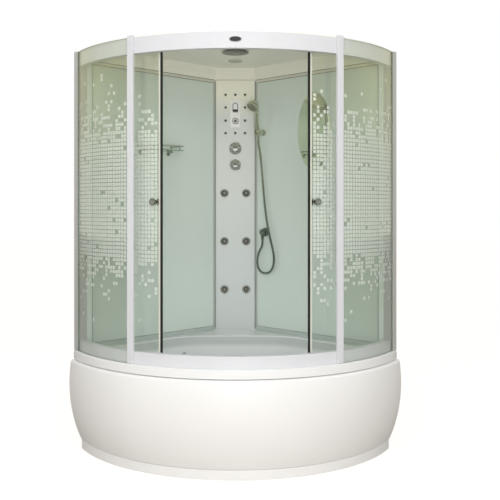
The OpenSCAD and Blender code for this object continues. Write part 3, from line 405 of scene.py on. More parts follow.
tub_angles = (spread(rim_angle, math.pi / 2, 22) + spread(math.pi / 2, math.pi - rim_angle, 22)
              + spread(math.pi - rim_angle, 2 * math.pi + rim_angle, 64))
tub_rows = [[bowl_point(a, form) for a in tub_angles] for form in reversed(bowl_form)]
bowl_floor = tub_rows[0]
tub_rows = [shrunk(bowl_floor, share, BOWL_FLOOR_Z - drop)
            for share, drop in ((0.001, 0.006), (0.3, 0.005), (0.6, 0.003), (0.9, 0.0005))] + tub_rows
for inset, z in ((0.05, DECK_Z), (0.012, DECK_Z), (0.004, DECK_Z - 0.0008), (0.0005, DECK_Z - 0.004),
                 (0, DECK_Z - 0.012), (0, LIP_Z + 0.003), (0.001, LIP_Z), (0.005, LIP_Z),
                 (0.006, LIP_Z + 0.003), (0.006, DECK_Z - 0.008), (0.008, DECK_Z - 0.006),
                 (0.03, DECK_Z - 0.006)):
    tub_rows.append([deck_point(a, inset, z) for a in tub_angles])
for form in bowl_form[2:]:
    tub_rows.append([bowl_point(a, form, TUB_WALL) - Vector((0, 0, 0.005)) for a in tub_angles])
tub_rows += [shrunk(tub_rows[-1], share, BOWL_FLOOR_Z - 0.012) for share in (0.9, 0.5, 0.001)]


def mottled(name, first, second, tint, grain, sheen, **sockets):
    """A finish that blends two colours by one noise and varies its roughness by another."""
    made = Finish(name, **sockets)
    made.feed(Base_Color=made.blend(made.noise(*tint), first, second),
              Roughness=made.ramp(made.noise(*grain), *sheen))
    return made


acrylic = mottled("white_acrylic", (0.86, 0.855, 0.84), (0.9, 0.895, 0.885), (3.0, 4), (5, 2), (-1.4, 3.6),
                  Coat_Roughness=0.25, Coat_Weight=0.2)
tub_acrylic = Finish("tub_acrylic", Coat_Roughness=0.05, Coat_Weight=0.5)
off_bowl = tub_acrylic.node("ShaderNodeVectorMath", {"operation": "DISTANCE"}, {
    0: tub_acrylic.node(
        "ShaderNodeVectorMath", {"operation": "MULTIPLY"}, {0: tub_acrylic.place(), 1: (1, 1, 0)}),
    1: (0, BOWL_Y, 0)}, 1)
tub_height = tub_acrylic.height()
inside = off_bowl < 0.60
shaded_band = (tub_acrylic.ramp(tub_height, 0.478, 0.500) * tub_acrylic.ramp(tub_height, 0.538, 0.530)
               * inside)
# Inside the bowl the acrylic turns bluish grey below 0.50 m, a painted shade, and the shaded band under the
# deck's edge is a painted shadow.
tub_acrylic.feed(
    Base_Color=tub_acrylic.blend(
        0.9 * shaded_band, tub_acrylic.blend(
            inside * tub_acrylic.ramp(tub_height, 0.50, 0.45), (0.86, 0.865, 0.86), (0.80, 0.825, 0.85)),
        (0.56, 0.60, 0.60)),
    Roughness=tub_acrylic.ramp(tub_acrylic.noise(5, 2), -0.9, 5.0))
fitted(skin(tub_rows), "tub_shell", tub_acrylic, "tub", smooth=40)


# Apron and plinth
# The bulging front panel is formed from the same acrylic as the tub and hangs under its
# rim. The plinth is a flat strip set back beneath it.
WALL_NORMALS = [Vector((HALF, HALF, 0)), Vector((-HALF, HALF, 0))]


def cut_to_walls(bm, inset):
    """Cuts a piece off at both back walls, a distance in from them."""
    for normal in WALL_NORMALS:
        point = Vector((0, CORNER_Y, 0)) - normal * inset
        bmesh.ops.bisect_plane(
            bm, geom=bm.verts[:] + bm.edges[:] + bm.faces[:], dist=1e-7,
            plane_co=point, plane_no=normal, clear_outer=True)
        bmesh.ops.holes_fill(bm, edges=bm.edges, sides=0)


def front_point(phi, radius, z):
    """A point on the front from its angle to the right of the middle, radius and height."""
    a = math.radians(phi)
    return Vector((radius * math.sin(a), AXIS_Y - radius * math.cos(a), z))


def swept(profile, middle_y, degrees, steps):
    """A closed profile of points, turned about an upright line."""
    bm = bmesh.new()
    corners = [bm.verts.new(point) for point in profile]
    edges = [bm.edges.new(pair) for pair in zip(corners, corners[1:] + corners[:1])]
    bmesh.ops.spin(bm, geom=corners + edges, cent=(0, middle_y, 0), axis=(0, 0, 1),
                   angle=math.radians(degrees), steps=steps, use_merge=False)
    bmesh.ops.holes_fill(bm, edges=bm.edges, sides=0)
    return bm


def along_front(outline, start, end, pitch=0.6):
    """A profile of radius and height drawn along the front between two angles."""
    profile = [front_point(start, r, z) for r, z in outline]
    return swept(profile, AXIS_Y, end - start, max(2, round((end - start) / pitch)))


def arc(cr, cz, radius, start, end, pieces):
    """Points of an arc in a profile, between two angles in degrees."""
    angles = [math.radians(start + (end - start) * i / pieces) for i in range(pieces + 1)]
    return [(cr + radius * math.cos(a), cz + radius * math.sin(a)) for a in angles]


PAST_WALLS = 66
PLINTH_PHI = 64
APRON_CURVE = 0.740
APRON_LOW_Z = 0.052
BULGE_Z = 0.370
BULGE_R = 0.265
APRON_TOP_R = 0.963
WALL_GAP = 0.002
SHOULDER = 0.014
shoulder_z = LIP_Z - 0.003 - SHOULDER
shoulder_angle = math.degrees(math.asin((shoulder_z - BULGE_Z) / APRON_CURVE))


def apron_side(inset):
    r = APRON_CURVE - inset
    low = math.degrees(math.asin((APRON_LOW_Z - BULGE_Z) / r))
    shoulder_r = BULGE_R + APRON_CURVE * math.cos(math.radians(shoulder_angle)) - SHOULDER
    return (arc(BULGE_R, BULGE_Z, r, low, shoulder_angle, 40)
            + arc(shoulder_r, shoulder_z, SHOULDER - inset, shoulder_angle, 90, 8)[1:]
            + [(APRON_TOP_R, shoulder_z + SHOULDER - inset)])


bm = along_front(apron_side(0) + apron_side(0.005)[::-1], -PAST_WALLS, PAST_WALLS)
cut_to_walls(bm, WALL_GAP)
fitted(bm, "apron_panel", acrylic, "apron", edge=0.0012)
bm = along_front([(0.926, 0), (0.932, 0), (0.932, 0.050), (0.926, 0.050)], -PLINTH_PHI, PLINTH_PHI)
cut_to_walls(bm, WALL_GAP)
fitted(bm, "plinth_strip", acrylic, "plinth", edge=0.0015)


# Support frame and feet
# Galvanised square bars welded into a base, with uprights under the deck and nine
# threaded feet.
def dress(node, finish):
    """Gives a CAD node that keeps its shape its finish."""
    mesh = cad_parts[node].data
    mesh.materials.clear()
    mesh.materials.append(finish.material)


steel = Finish("galvanised_steel", Metallic=0.85)
spangle = steel.node(
    "ShaderNodeTexVoronoi", {}, {"Vector": steel.place(), "Scale": 90.0}, "Color")
steel.feed(
    Base_Color=steel.blend(0.25, (0.52, 0.53, 0.54), spangle),
    Roughness=steel.ramp(steel.noise(40), -0.3, 1.6))
dress("support_frame", steel)


def even(name, colour, grain, sheen, **sockets):
    """A finish of one colour that varies its roughness by a noise."""
    made = Finish(name, Base_Color=colour, **sockets)
    made.feed(Roughness=made.ramp(made.noise(*grain), *sheen))
    return made


dress("levelling_feet", even("foot_plastic", (0.06, 0.06, 0.06), (200,), (-1.2, 1.4)))


# Front rails
# Curved white aluminium profiles with the ridges that the rollers run on. The top one
# carries a plain oval plate in its middle.
RAIL_OUT = 0.9545
TRACK = 0.9215
WALL = 0.003
RIDGE = 0.017
MIDDLE_FLANGE = 0.014
RAIL_INSET = 0.030
BADGE_Z = 2.117

white_profile = mottled("white_coating", (0.69, 0.695, 0.725), (0.725, 0.73, 0.76), (8,), (120,), (-0.5, 2.6),
                        Coat_Roughness=0.1, Coat_Weight=0.3)
white_profile.bump(white_profile.noise(700, 2), 0.00005, 0.5)


def rail_outline(foot_z, head_z, web_z, lip_r):
    """A folded rail: a front web, a flange with the ridge, a middle flange and a far flange."""
    sign = 1 if head_z > foot_z else -1
    inner = RAIL_OUT - WALL
    ridge_in, ridge_out = TRACK - 0.0015, TRACK + 0.0015
    web_high = web_z + WALL / 2
    web_low = web_z - WALL / 2 if sign > 0 else web_high
    return [
        (RAIL_OUT, foot_z), (RAIL_OUT, head_z), (lip_r, head_z), (lip_r, head_z - sign * WALL),
        (inner, head_z - sign * WALL), (inner, web_high), (RAIL_OUT - MIDDLE_FLANGE, web_high),
        (RAIL_OUT - MIDDLE_FLANGE, web_low), (inner, web_low),
        (inner, foot_z + sign * WALL), (ridge_out, foot_z + sign * WALL),
        (ridge_out, foot_z + sign * (WALL + RIDGE)), (ridge_in, foot_z + sign * (WALL + RIDGE)),
        (ridge_in, foot_z)]


for name, levels, lip_r in (
        ("top_rail", (2.075, 2.155, 2.1165), 0.8975), ("bottom_rail", (0.600, 0.540, 0.5715), 0.9345)):
    bm = along_front(rail_outline(*levels, lip_r), -PAST_WALLS, PAST_WALLS)
    cut_to_walls(bm, RAIL_INSET)
    fitted(bm, f"{name}_profile", white_profile, name, edge=0.0006)


def moved(x, y, z):
    return Matrix.Translation((x, y, z))


def spun(degrees, axis):
    return Matrix.Rotation(math.radians(degrees), 4, axis)


def put(bm, place):
    bmesh.ops.transform(bm, matrix=place, verts=bm.verts)
    return bm


def turned(outline, place=Matrix(), steps=40, unit=0.001):
    """A lathe-turned shape from radii and heights along Z in a unit, closed at its ends."""
    bm = bmesh.new()
    points = [bm.verts.new((r * unit, 0, z * unit)) for r, z in outline]
    edges = [bm.edges.new(pair) for pair in zip(points, points[1:])]
    bmesh.ops.spin(bm, geom=points + edges, cent=(0, 0, 0), axis=(0, 0, 1),
                   angle=2 * math.pi, steps=steps, use_merge=True)
    bmesh.ops.remove_doubles(bm, verts=bm.verts, dist=1e-6)
    bmesh.ops.holes_fill(bm, edges=bm.edges, sides=0)
    bmesh.ops.recalc_face_normals(bm, faces=bm.faces)
    return put(bm, place)


def on_front(phi, radius, z):
    """The front's own directions at a point: X along it and -Y out of the cabin."""
    return Matrix.Translation(front_point(phi, radius, z)) @ spun(phi, "Z")


def outward(phi, radius, z, back=False):
    """The place on the front where +Z of a shape points out of the cabin, or in with back."""
    return on_front(phi, radius, z) @ spun(-90 if back else 90, "X")


def oval_plate(width, height, thick, place):
    """A slightly domed oval plate with a rounded rim, its back on the place."""
    outline = [(0, 0), (0.5, 0), (0.5, 0.45), (0.485, 0.75), (0.45, 0.9), (0.3, 0.97), (0, 1)]
    bm = turned(outline, steps=72, unit=1)
    return put(bm, place @ Matrix.Diagonal((width, height, thick, 1)))


aluminium = Finish("anodised_aluminium", Metallic=0.9)
aluminium.feed(
    Base_Color=aluminium.blend(aluminium.drawn_lines(), (0.74, 0.745, 0.75), (0.84, 0.84, 0.845)),
    Roughness=aluminium.ramp(aluminium.drawn_lines(), -0.6, 3.2))
badge_dark = mottled("badge_plate", (0.035, 0.037, 0.042), (0.05, 0.052, 0.058), (40,), (300,), (-0.7, 2.6),
                     Metallic=0.6, Coat_Weight=0.6)
fitted(oval_plate(0.056, 0.022, 0.0029, outward(0, RAIL_OUT, BADGE_Z)),
       "rail_badge", badge_dark, smooth=25)
fitted(oval_plate(0.062, 0.028, 0.0022, outward(0, RAIL_OUT, BADGE_Z)),
       "badge_rim", aluminium, smooth=25)


# Glass posts
# Two white uprights that clamp the fixed panes to the rails.
POST_PHI = 32.6
POST_HALF = 1.0633
post_outline = [
    (RAIL_OUT + 0.0001, 0.540), (0.968, 0.540), (0.970, 0.542), (0.970, 2.162), (0.968, 2.164),
    (RAIL_OUT + 0.0001, 2.164)]


def joined(shapes):
    """Several shapes as one mesh."""
    whole = bmesh.new()
    for shape in shapes:
        part = bpy.data.meshes.new("part")
        shape.to_mesh(part)
        shape.free()
        whole.from_mesh(part)
    return whole


posts = joined([along_front(post_outline, phi - POST_HALF, phi + POST_HALF, 0.5)
                for phi in (-POST_PHI, POST_PHI)])
fitted(posts, "glass_posts", white_profile, "posts", edge=0.0025)


# Fixed glass
# Curved 6 mm toughened panes with green edges. Both carry a fired mosaic of small white
# frosted squares that thins out at its top and bottom.
GLASS_T = 0.006
GLASS_PHI = 32.281
PANE_IN = 0.955
PANE_LOW, PANE_HIGH = 0.540, 2.154
PANE_INSET = 0.018
MOSAIC_PITCH = 0.020
MOSAIC_SIDE = 0.0158
MOSAIC_T = 0.0003
MOSAIC_OFF = 0.0002
MOSAIC_START, MOSAIC_END = 33.9, 65.2
MOSAIC_LOW, MOSAIC_HIGH = 0.66, 2.06
BAND_LOW, BAND_HIGH = 1.09, 1.63
DENSE = 0.985


class Glass(Finish):
    """Clear glass: its tint passes straight through, and its face mirrors at a slant."""

    def __init__(self, name, tint):
        super().__init__(name, Metallic=1.0)
        # The mirrored face turns from pale green to yellow between 1.45 m and 1.95 m: the yellow is a painted
        # reflection.
        self.feed(
            Base_Color=self.blend(self.ramp(self.height(), 1.45, 1.95), (0.93, 0.97, 0.88), (1, 0.95, 0.55)),
            Roughness=self.ramp(self.noise(9), -0.64, 40.0))
        clear = self.node("ShaderNodeBsdfTransparent", {}, {"Color": tint})
        facing = self.node("ShaderNodeLayerWeight", {}, {"Blend": 0.5}, "Facing")
        slant = 0.04 + 0.96 * facing.maths("POWER", facing, 5.0)
        mirror = Value(self, self.shader.outputs[0])
        self.join(self.tree.nodes["Material Output"].inputs["Surface"], self.mixed(slant, clear, mirror))


pane_glass = Glass("pane_glass", (0.962, 0.975, 0.960))
glass_edge = even("glass_edge", (0.30, 0.42, 0.36), (150,), (-0.6, 2.5), Coat_Weight=0.6)
frosting = even("frosted_squares", (0.88, 0.9, 0.88), (900, 2), (-2.0, 1.5), Alpha=0.78)


def curved_pane(radius, start, end, low, high):
    outline = [(radius, low), (radius + GLASS_T, low), (radius + GLASS_T, high), (radius, high)]
    return along_front(outline, start, end, 0.5)


def green_edges(bm):
    """Gives a pane's narrow sides the second finish."""
    bmesh.ops.recalc_face_normals(bm, faces=bm.faces)
    for face in bm.faces:
        off_axis = face.calc_center_median() - Vector((0, AXIS_Y, 0))
        off_axis.z = 0
        if abs(face.normal.dot(off_axis.normalized())) < 0.7:
            face.material_index = 1


def chance(z):
    """How likely a square is at a height: certain in the band, thinning out beyond it."""
    beyond = max(z - BAND_HIGH, BAND_LOW - z)
    if beyond < 0:
        return DENSE
    if beyond < 0.20:
        return DENSE - 4.6 * beyond
    return max(0.0, 0.085 - 0.45 * (beyond - 0.20))


def mosaic(name, body, radius, start, end, seed, fade=180.0):
    """Thin frosted squares on one pane, in columns a pitch apart, thinning out past an angle."""
    draw = random.Random(seed)
    bm = bmesh.new()
    step = math.degrees(MOSAIC_PITCH / radius)
    columns = int((end - start - 0.3) / step)
    first = (start + end - (columns - 1) * step) / 2
    for column in range(columns):
        for row in range(int((MOSAIC_HIGH - MOSAIC_LOW) / MOSAIC_PITCH)):
            z = MOSAIC_LOW + (row + 0.5) * MOSAIC_PITCH
            phi = first + column * step
            if draw.random() > chance(z) - 0.5 * max(0.0, abs(phi) - fade):
                continue
            place = on_front(phi, radius, z) @ Matrix.Diagonal((MOSAIC_SIDE, MOSAIC_T, MOSAIC_SIDE, 1))
            bmesh.ops.create_cube(bm, size=1, matrix=place)
    fitted(bm, name, frosting, body=body)


for sign, side in ((-1, "left"), (1, "right")):
    start, end = sorted((sign * GLASS_PHI, sign * PAST_WALLS))
    bm = curved_pane(PANE_IN, start, end, PANE_LOW, PANE_HIGH)
    cut_to_walls(bm, PANE_INSET)
    green_edges(bm)
    node = f"fixed_glass_{side}"
    fitted(bm, f"fixed_pane_{side}", [pane_glass, glass_edge], node, edge=0.0006)
    start, end = sorted((sign * MOSAIC_START, sign * MOSAIC_END))
    mosaic(f"mosaic_fixed_{side}", "cabin", PANE_IN - MOSAIC_OFF, start, end, 11 + sign)


# Doors
# Two curved sliding panes, each with a magnet seal on its closing edge, a chromed knob
# on both faces and four grooved rollers on hubs through the glass.
DOOR_IN = 0.907
DOOR_OUT = 0.913
DOOR_LOW = 0.552
DOOR_HIGH = 2.1293
OPEN_PHI = 23.2
DOOR_PHI = 34.0
SEAL_PHI = 0.6
LIP_PHI = 1.137
SEAL_OVER = 0.002
KNOB_Z = 1.340
KNOB_PHI = 25.961
WHEEL_PHIS = (28.0, 52.4)
WHEEL_ZS = {"bottom": 0.5697, "top": 2.1053}


def chromed(name, dark, light):
    """Polished chrome with faint smudges, from a dark to a light tone."""
    return mottled(name, dark, light, (18, 4), (18, 4), (-0.1, 6.0), Metallic=1.0)


chrome = chromed("polished_chrome", (0.52, 0.535, 0.51), (0.64, 0.65, 0.625))
# The door knobs' chrome is darker than the rest: painted reflection.
knob_chrome = chromed("knob_chrome", (0.24, 0.265, 0.23), (0.36, 0.38, 0.34))
seal_rubber = even("seal_rubber", (0.012, 0.016, 0.013), (90,), (-0.8, 1.8), Specular_IOR_Level=0.25)
seal_cream = even("seal_lips", (0.66, 0.66, 0.58), (70,), (-0.6, 2.2), Coat_Weight=0.3)
roller_plastic = even("roller_plastic", (0.82, 0.82, 0.8), (150,), (-0.8, 2.2))


def seal_strip(side, inner, outer, start, end):
    """An upright strip between two radii and two angles, over the height of a door."""
    corners = ((inner, start), (outer, start), (outer, end), (inner, end))
    return skin([[front_point(side * phi, r, z) for r, phi in corners] for z in (DOOR_LOW, DOOR_HIGH)])


door_knob_outline = [
    (0, 0), (12.2, 0), (12.2, 2), (7.4, 3), (7.1, 9.8), *arc(13.1, 16.1, 4.4, -90, 0, 6),
    *arc(14, 22.1, 3.5, 0, 90, 6), (11.2, 25.3), (10.4, 24.6), (4, 24.5), (0, 24.5)]
wheel_outline = [
    (4.05, -4.5), (12, -4.5), (13, -3.7), (13, -3), (10, -2.3), (10, 2.3), (13, 3), (13, 3.7), (12, 4.5),
    (4.05, 4.5), (4.05, -4.5)]
hub_outline = [
    (0, -8), (12, -8), (14, -6), (14, 0), (6.9, 0), (6.9, 9.7), (4, 9.7), (4, 19.3), (7, 19.3), (7, 20.5),
    (6, 21), (4, 21), (4, 22), (0, 22)]
for sign, side in ((-1, "left"), (1, "right")):
    body = f"door_{side}"
    start, end = sorted((sign * (OPEN_PHI + 0.4519), sign * (OPEN_PHI + DOOR_PHI)))
    bm = curved_pane(DOOR_IN, start, end, DOOR_LOW, DOOR_HIGH)
    green_edges(bm)
    fitted(bm, f"door_pane_{side}", [pane_glass, glass_edge],
           f"door_glass_{side}", body=body, edge=0.0006)
    start, end = sorted((sign * (OPEN_PHI + 1.5), sign * (OPEN_PHI + DOOR_PHI - 0.3)))
    mosaic(f"mosaic_door_{side}", body, DOOR_IN - MOSAIC_OFF, start, end, 31 + sign, 33.5)
    grip = OPEN_PHI + SEAL_PHI
    fitted(seal_strip(sign, DOOR_IN - SEAL_OVER, DOOR_OUT + SEAL_OVER, OPEN_PHI, grip),
           f"magnet_seal_{side}", seal_rubber, f"door_seal_{side}", body=body, edge=0.0006)
    for face, radius in (("out", DOOR_OUT), ("in", DOOR_IN - SEAL_OVER)):
        fitted(seal_strip(sign, radius, radius + SEAL_OVER, grip, OPEN_PHI + LIP_PHI),
               f"seal_lip_{face}_{side}", seal_cream, body=body, edge=0.0005)
    fitted(joined([turned(door_knob_outline, outward(sign * KNOB_PHI, DOOR_OUT, KNOB_Z)),
                   turned(door_knob_outline, outward(sign * KNOB_PHI, DOOR_IN, KNOB_Z, True)),
                   turned([(0, 0), (5.8, 0), (5.8, 8), (0, 8)],
                          outward(sign * KNOB_PHI, DOOR_IN - 0.001, KNOB_Z), 24)]),
           f"knob_pair_{side}", knob_chrome, f"door_knob_{side}", body=body, smooth=30)
    fitted(joined([turned(hub_outline, outward(sign * phi, DOOR_IN, z), 32)
                   for phi in WHEEL_PHIS for z in WHEEL_ZS.values()]),
           f"hubs_{side}", chrome, f"roller_hubs_{side}", body=body, smooth=30)
    for level, z in WHEEL_ZS.items():
        for letter, phi in zip("ab", WHEEL_PHIS):
            wheel = f"wheel_{level}_{side}_{letter}"
            fitted(turned(wheel_outline, outward(sign * phi, TRACK, z), 48),
                   f"roller_{level}_{side}_{letter}", roller_plastic, wheel,
                   body=wheel, smooth=30)


# Back walls
# Back-painted glass panels in aluminium strips, with lines of painted shade along the top
# strip's edges and the foot strip's top edge, and the uprights that join the walls to the curved front.
panel_glass = mottled("painted_glass", (0.70, 0.785, 0.73), (0.73, 0.81, 0.755), (2.5,), (14,), (-0.4, 5.0),
                      Coat_Weight=0.6, Coat_Roughness=0.03)
TOP_STRIP_Z = 2.0979
SHADE_LINE_Z = 2.1165
# The strips are painted by height: cream on the top strip as painted light, green-grey on the foot strip as
# painted reflection, and dark lines at the strip edges as painted shade.
frame_grey = Finish("frame_grey", Metallic=0.35)
level = frame_grey.height()
painted_shade_lines = ((level > SHADE_LINE_Z) + (level > TOP_STRIP_Z) * (level < 2.1005)
              + 0.75 * (level > 0.5655) * (level < 0.5681))
uprights = frame_grey.blend(frame_grey.drawn_lines(), (0.50, 0.52, 0.49), (0.60, 0.62, 0.58))
over_foot = frame_grey.blend(level < 0.566, uprights, (0.60, 0.67, 0.65))
frame_grey.feed(
    Base_Color=frame_grey.blend(
        painted_shade_lines, frame_grey.blend(level > TOP_STRIP_Z, over_foot, (0.80, 0.79, 0.70)), (0.16, 0.17, 0.14)),
    Roughness=frame_grey.ramp(frame_grey.drawn_lines(), -0.9, 2.2))
profile_grey = Finish("profile_grey", Metallic=0.35)
profile_grey.feed(
    Base_Color=profile_grey.blend(profile_grey.drawn_lines(), (0.50, 0.505, 0.485), (0.58, 0.585, 0.565)),
    Roughness=profile_grey.ramp(profile_grey.drawn_lines(), -0.9, 2.2))
dress("wall_frames", frame_grey)
dress("wall_profiles", profile_grey)
dress("wall_panel_left", panel_glass)
dress("wall_panel_right", panel_glass)


# Column
# A light grey moulded sheet folded round the room corner, with the fittings' holes. A
# grey gasket fills the groove between each of its folds and the wall's strip.
FACE_Y = 0.5625
# The sheet is painted darker and bluish low down and cream near its top, as painted shade and light, with a
# dark band of painted shade at its very top under the collar.
column_plastic = Finish("column_plastic", Coat_Weight=0.15, Coat_Roughness=0.2)
column_height = column_plastic.height()
painted_shade_low = column_plastic.blend(
    column_plastic.ramp(column_height, 0.7, 1.5), (0.66, 0.70, 0.70), (0.75, 0.77, 0.75))
painted_light_and_shade = column_plastic.blend(
    column_plastic.ramp(column_height + 0.06 * column_plastic.noise(5), 1.90, 2.05), painted_shade_low,
    (0.98, 0.97, 0.84))
column_plastic.feed(
    Base_Color=column_plastic.blend(column_height > SHADE_LINE_Z, painted_light_and_shade, (0.40, 0.40, 0.32)),
    Roughness=column_plastic.ramp(column_plastic.noise(90), -1.6, 2.4))
dress("column", column_plastic)
gasket_grey = even("gasket_grey", (0.34, 0.36, 0.34), (90,), (-0.8, 1.8))
for side, x in (("left", -0.1268), ("right", 0.1268)):
    fitted(turned([(0, 0), (3, 0), (3.6, 0.6), (3.6, 1569.4), (3, 1570), (0, 1570)],
                  moved(x, FACE_Y + 0.0063, 0.5455), 24),
           f"gasket_{side}", gasket_grey)


# Control panel
# A pale plate with a raised arch round a dark display, a ring round the push button and
# a sealed electronics box behind the column.
PLATE_Z = 1.906
BUTTON_Z = 1.859


def on_column(x, z, out=0.0):
    """The place on the column's face where +Z of a shape points into the cabin."""
    return moved(x, FACE_Y - out, z) @ spun(90, "X")


def box(width, depth, height, place=Matrix()):
    bm = bmesh.new()
    bmesh.ops.create_cube(bm, size=1, matrix=place @ Matrix.Diagonal((width, depth, height, 1)))
    return bm


def round_off(bm, edges, radius):
    bmesh.ops.bevel(bm, geom=edges, offset=radius, segments=6, profile=0.5, affect="EDGES", material=-1)


def rounded_plate(width, height, thick, corner, place):
    """A plate with rounded corners, its back on the place and its front along +Z."""
    bm = box(width, height, thick)
    round_off(bm, [e for e in bm.edges if abs(e.verts[0].co.z - e.verts[1].co.z) > thick / 2], corner)
    bmesh.ops.translate(bm, verts=bm.verts, vec=(0, 0, thick / 2))
    return put(bm, place)


def arch_points(width, height, pieces=14):
    half = width / 2
    return [(-half, 0), (half, 0)] + [
        (half * math.cos(math.pi * i / pieces), height - half + half * math.sin(math.pi * i / pieces))
        for i in range(pieces + 1)]


def thicken(bm, thick):
    """Extrudes a flat shape along +Z and gives its front faces."""
    top = bmesh.ops.extrude_face_region(bm, geom=bm.faces[:])["geom"]
    bmesh.ops.translate(bm, verts=[v for v in top if isinstance(v, bmesh.types.BMVert)], vec=(0, 0, thick))
    return [f for f in top if isinstance(f, bmesh.types.BMFace)]


def raised(points, thick, place):
    """A flat shape from its outline, with thickness along +Z."""
    bm = bmesh.new()
    bm.faces.new([bm.verts.new((x, y, 0)) for x, y in points])
    thicken(bm, thick)
    return put(bm, place)


def frame_round(outer, inner, thick, place):
    """A raised border between two outlines that have the same count of points."""
    rows = [[Vector((x, y, z)) for x, y in line]
            for line, z in ((outer, 0), (outer, thick), (inner, thick), (inner, 0), (outer, 0))]
    return put(skin(rows), place)


plate_plastic = mottled(
    "plate_plastic", (0.93, 0.93, 0.91), (0.95, 0.95, 0.93), (30,), (200,), (-0.6, 2.4))
smoked_chrome = mottled(
    "smoked_chrome", (0.10, 0.105, 0.09), (0.16, 0.165, 0.14), (200,), (260,), (-0.5, 2.4), Metallic=0.8)
dark_plastic = even("dark_plastic", (0.05, 0.05, 0.055), (220,), (-0.9, 2.0))
display_black = even("display_window", (0.012, 0.011, 0.01), (60,), (-0.2, 8.0), Coat_Weight=1.0)
fitted(rounded_plate(0.062, 0.177, 0.005, 0.006, on_column(0, PLATE_Z)),
       "control_fascia", plate_plastic, "control_plate", edge=0.0012)
arch_place = on_column(0, 1.914, 0.005)
arch_outline = arch_points(0.034, 0.060)
arch_opening = [(x * 0.76, 0.004 + y * 0.87) for x, y in arch_outline]
fitted(frame_round(arch_outline, arch_opening, 0.0022, arch_place),
       "display_arch", smoked_chrome, edge=0.0006)
fitted(raised(arch_opening, 0.0008, arch_place), "display_field", plate_plastic)
fitted(rounded_plate(0.0255, 0.013, 0.0014, 0.001, on_column(0, 1.9255, 0.005)),
       "display_window", display_black, edge=0.0003)
fitted(turned([(16.2, 0), (20, 0), (20, 1.6), (19.2, 2.5), (17, 2.5), (16.2, 1.6), (16.2, 0)],
              on_column(0, BUTTON_Z, 0.005), 56),
       "button_ring", smoked_chrome)
fitted(turned([(0, -4), (5, -4), (5, 3), (11, 3), (11, 6.6), (10.3, 7.6), (8.5, 8), (6, 7.2), (0, 6.9)],
              on_column(0, BUTTON_Z), 48),
       "push_button", chrome, "power_button", body="power_button")
fitted(turned([(0, 7.1), (5.2, 7.1), (5, 7.9), (0, 8.2)], on_column(0, BUTTON_Z), 40),
       "button_cap", dark_plastic, body="power_button")
dress("control_module", dark_plastic)


# Valves, escutcheons and knobs
# Cast brass valve bodies behind the column, with chromed escutcheons and lever knobs.
MIXER_Z = 1.686
DIVERTER_Z = 1.582
brass = Finish("cast_brass", Metallic=1.0)
grain = brass.noise(130, 3)
brass.feed(Base_Color=brass.blend(grain, (0.55, 0.4, 0.17), (0.72, 0.55, 0.26)),
           Roughness=brass.ramp(grain, -0.3, 1.7))
brass.bump(grain, 0.0003, 0.6)
dress("mixer_valve", brass)
dress("diverter_valve", brass)


def escutcheon(z, radius):
    return turned([(8, 0), (radius + 4, 0), (radius + 4, 1.5), (radius + 3, 2.8), (radius + 1, 4), (8, 4),
                   (8, 0)], on_column(0, z), 64)


def lever_knob(z, r, h, lever):
    """A domed knob of a radius and height, with its spindle and a short lever at an angle."""
    body = turned(
        [(0, -0.026), (0.005, -0.026), (0.005, 0.0043), (r * 0.96, 0.0043), (r, 0.0063),
         *[(x, y + 0.0043) for x, y in arc(r - 0.006, h * 0.62, 0.006, 0, 60, 7)],
         (r - 0.0042, h * 0.62 + 0.0100),
         *[(x, y + 0.0043) for x, y in arc(r * 0.5, h - 0.008, 0.008, 60, 90, 6)],
         (r * 0.42, h + 0.0038), (0, h + 0.0043)], on_column(0, z), 64, unit=1)
    turn = spun(lever, "Z") @ moved(r - 0.006, 0, 0.004 + h * 0.4)
    grip = turned([(0, 0), (6, 0), (5.5, 5), (4.6, 11), (4, 13.5), (2.6, 14), (0, 14)],
                  on_column(0, z) @ turn @ spun(90, "Y"), 28)
    return joined([body, grip])


fitted(joined([escutcheon(MIXER_Z, 35), escutcheon(DIVERTER_Z, 31)]),
       "escutcheon_pair", chrome, "escutcheons")
for valve, form in (
        ("mixer", (MIXER_Z, 0.035, 0.034, 60)), ("diverter", (DIVERTER_Z, 0.031, 0.030, -45))):
    knob = f"{valve}_knob"
    fitted(lever_knob(*form), f"{valve}_lever_knob", chrome, knob, body=knob)


# Massage jets and spray nozzles
# Six jets in chromed bezels with a dished face, and ten small nozzles round the panel.
JET_X = 0.0685
jet_places = [(x, 0.796 + 0.304 * k) for x in (-JET_X, JET_X) for k in range(3)]
spray_places = [(x, PLATE_Z + up) for up, row in (
    (0.119, (-0.061, 0, 0.061)), (0.039, (-0.061, 0.061)), (-0.044, (-0.061, 0.061)),
    (-0.123, (-0.061, 0, 0.061))) for x in row]
bezel_outline = [
    (3, -8), (10.8, -8), (10.8, 0), (27, 0), (27, 3), *arc(22, 3, 5, 0, 90, 8)[1:], (17, 8), (16.2, 7.4),
    (14, 5), (12, 4.5), (11, 5), (8.5, 7.5), (6.5, 8.4), (4.5, 8.5), (3.4, 8), (3, 7), (3, -8)]
nozzle_outline = [
    (1.5, -16), (4, -16), (4, 0), (8, 0), (8, 1.2), (7.4, 2.5), (5.8, 3.2), (4, 3.5), (3.4, 2.4),
    (1.5, 2.4), (1.5, -16)]
dress("jet_bodies", dark_plastic)
bezels = joined([turned(bezel_outline, on_column(x, z), 48) for x, z in jet_places])
for face in bezels.faces:
    middle = face.calc_center_median()
    off_middle = min(math.hypot(middle.x - x, middle.z - z) for x, z in jet_places)
    face.material_index = 1 if 0.0085 < off_middle < 0.0165 else 0
fitted(bezels, "jet_bezel_set", [chrome, smoked_chrome], "jet_bezels")
fitted(joined([turned(nozzle_outline, on_column(x, z), 28) for x, z in spray_places]),
       "spray_nozzle_set", smoked_chrome, "spray_nozzles")


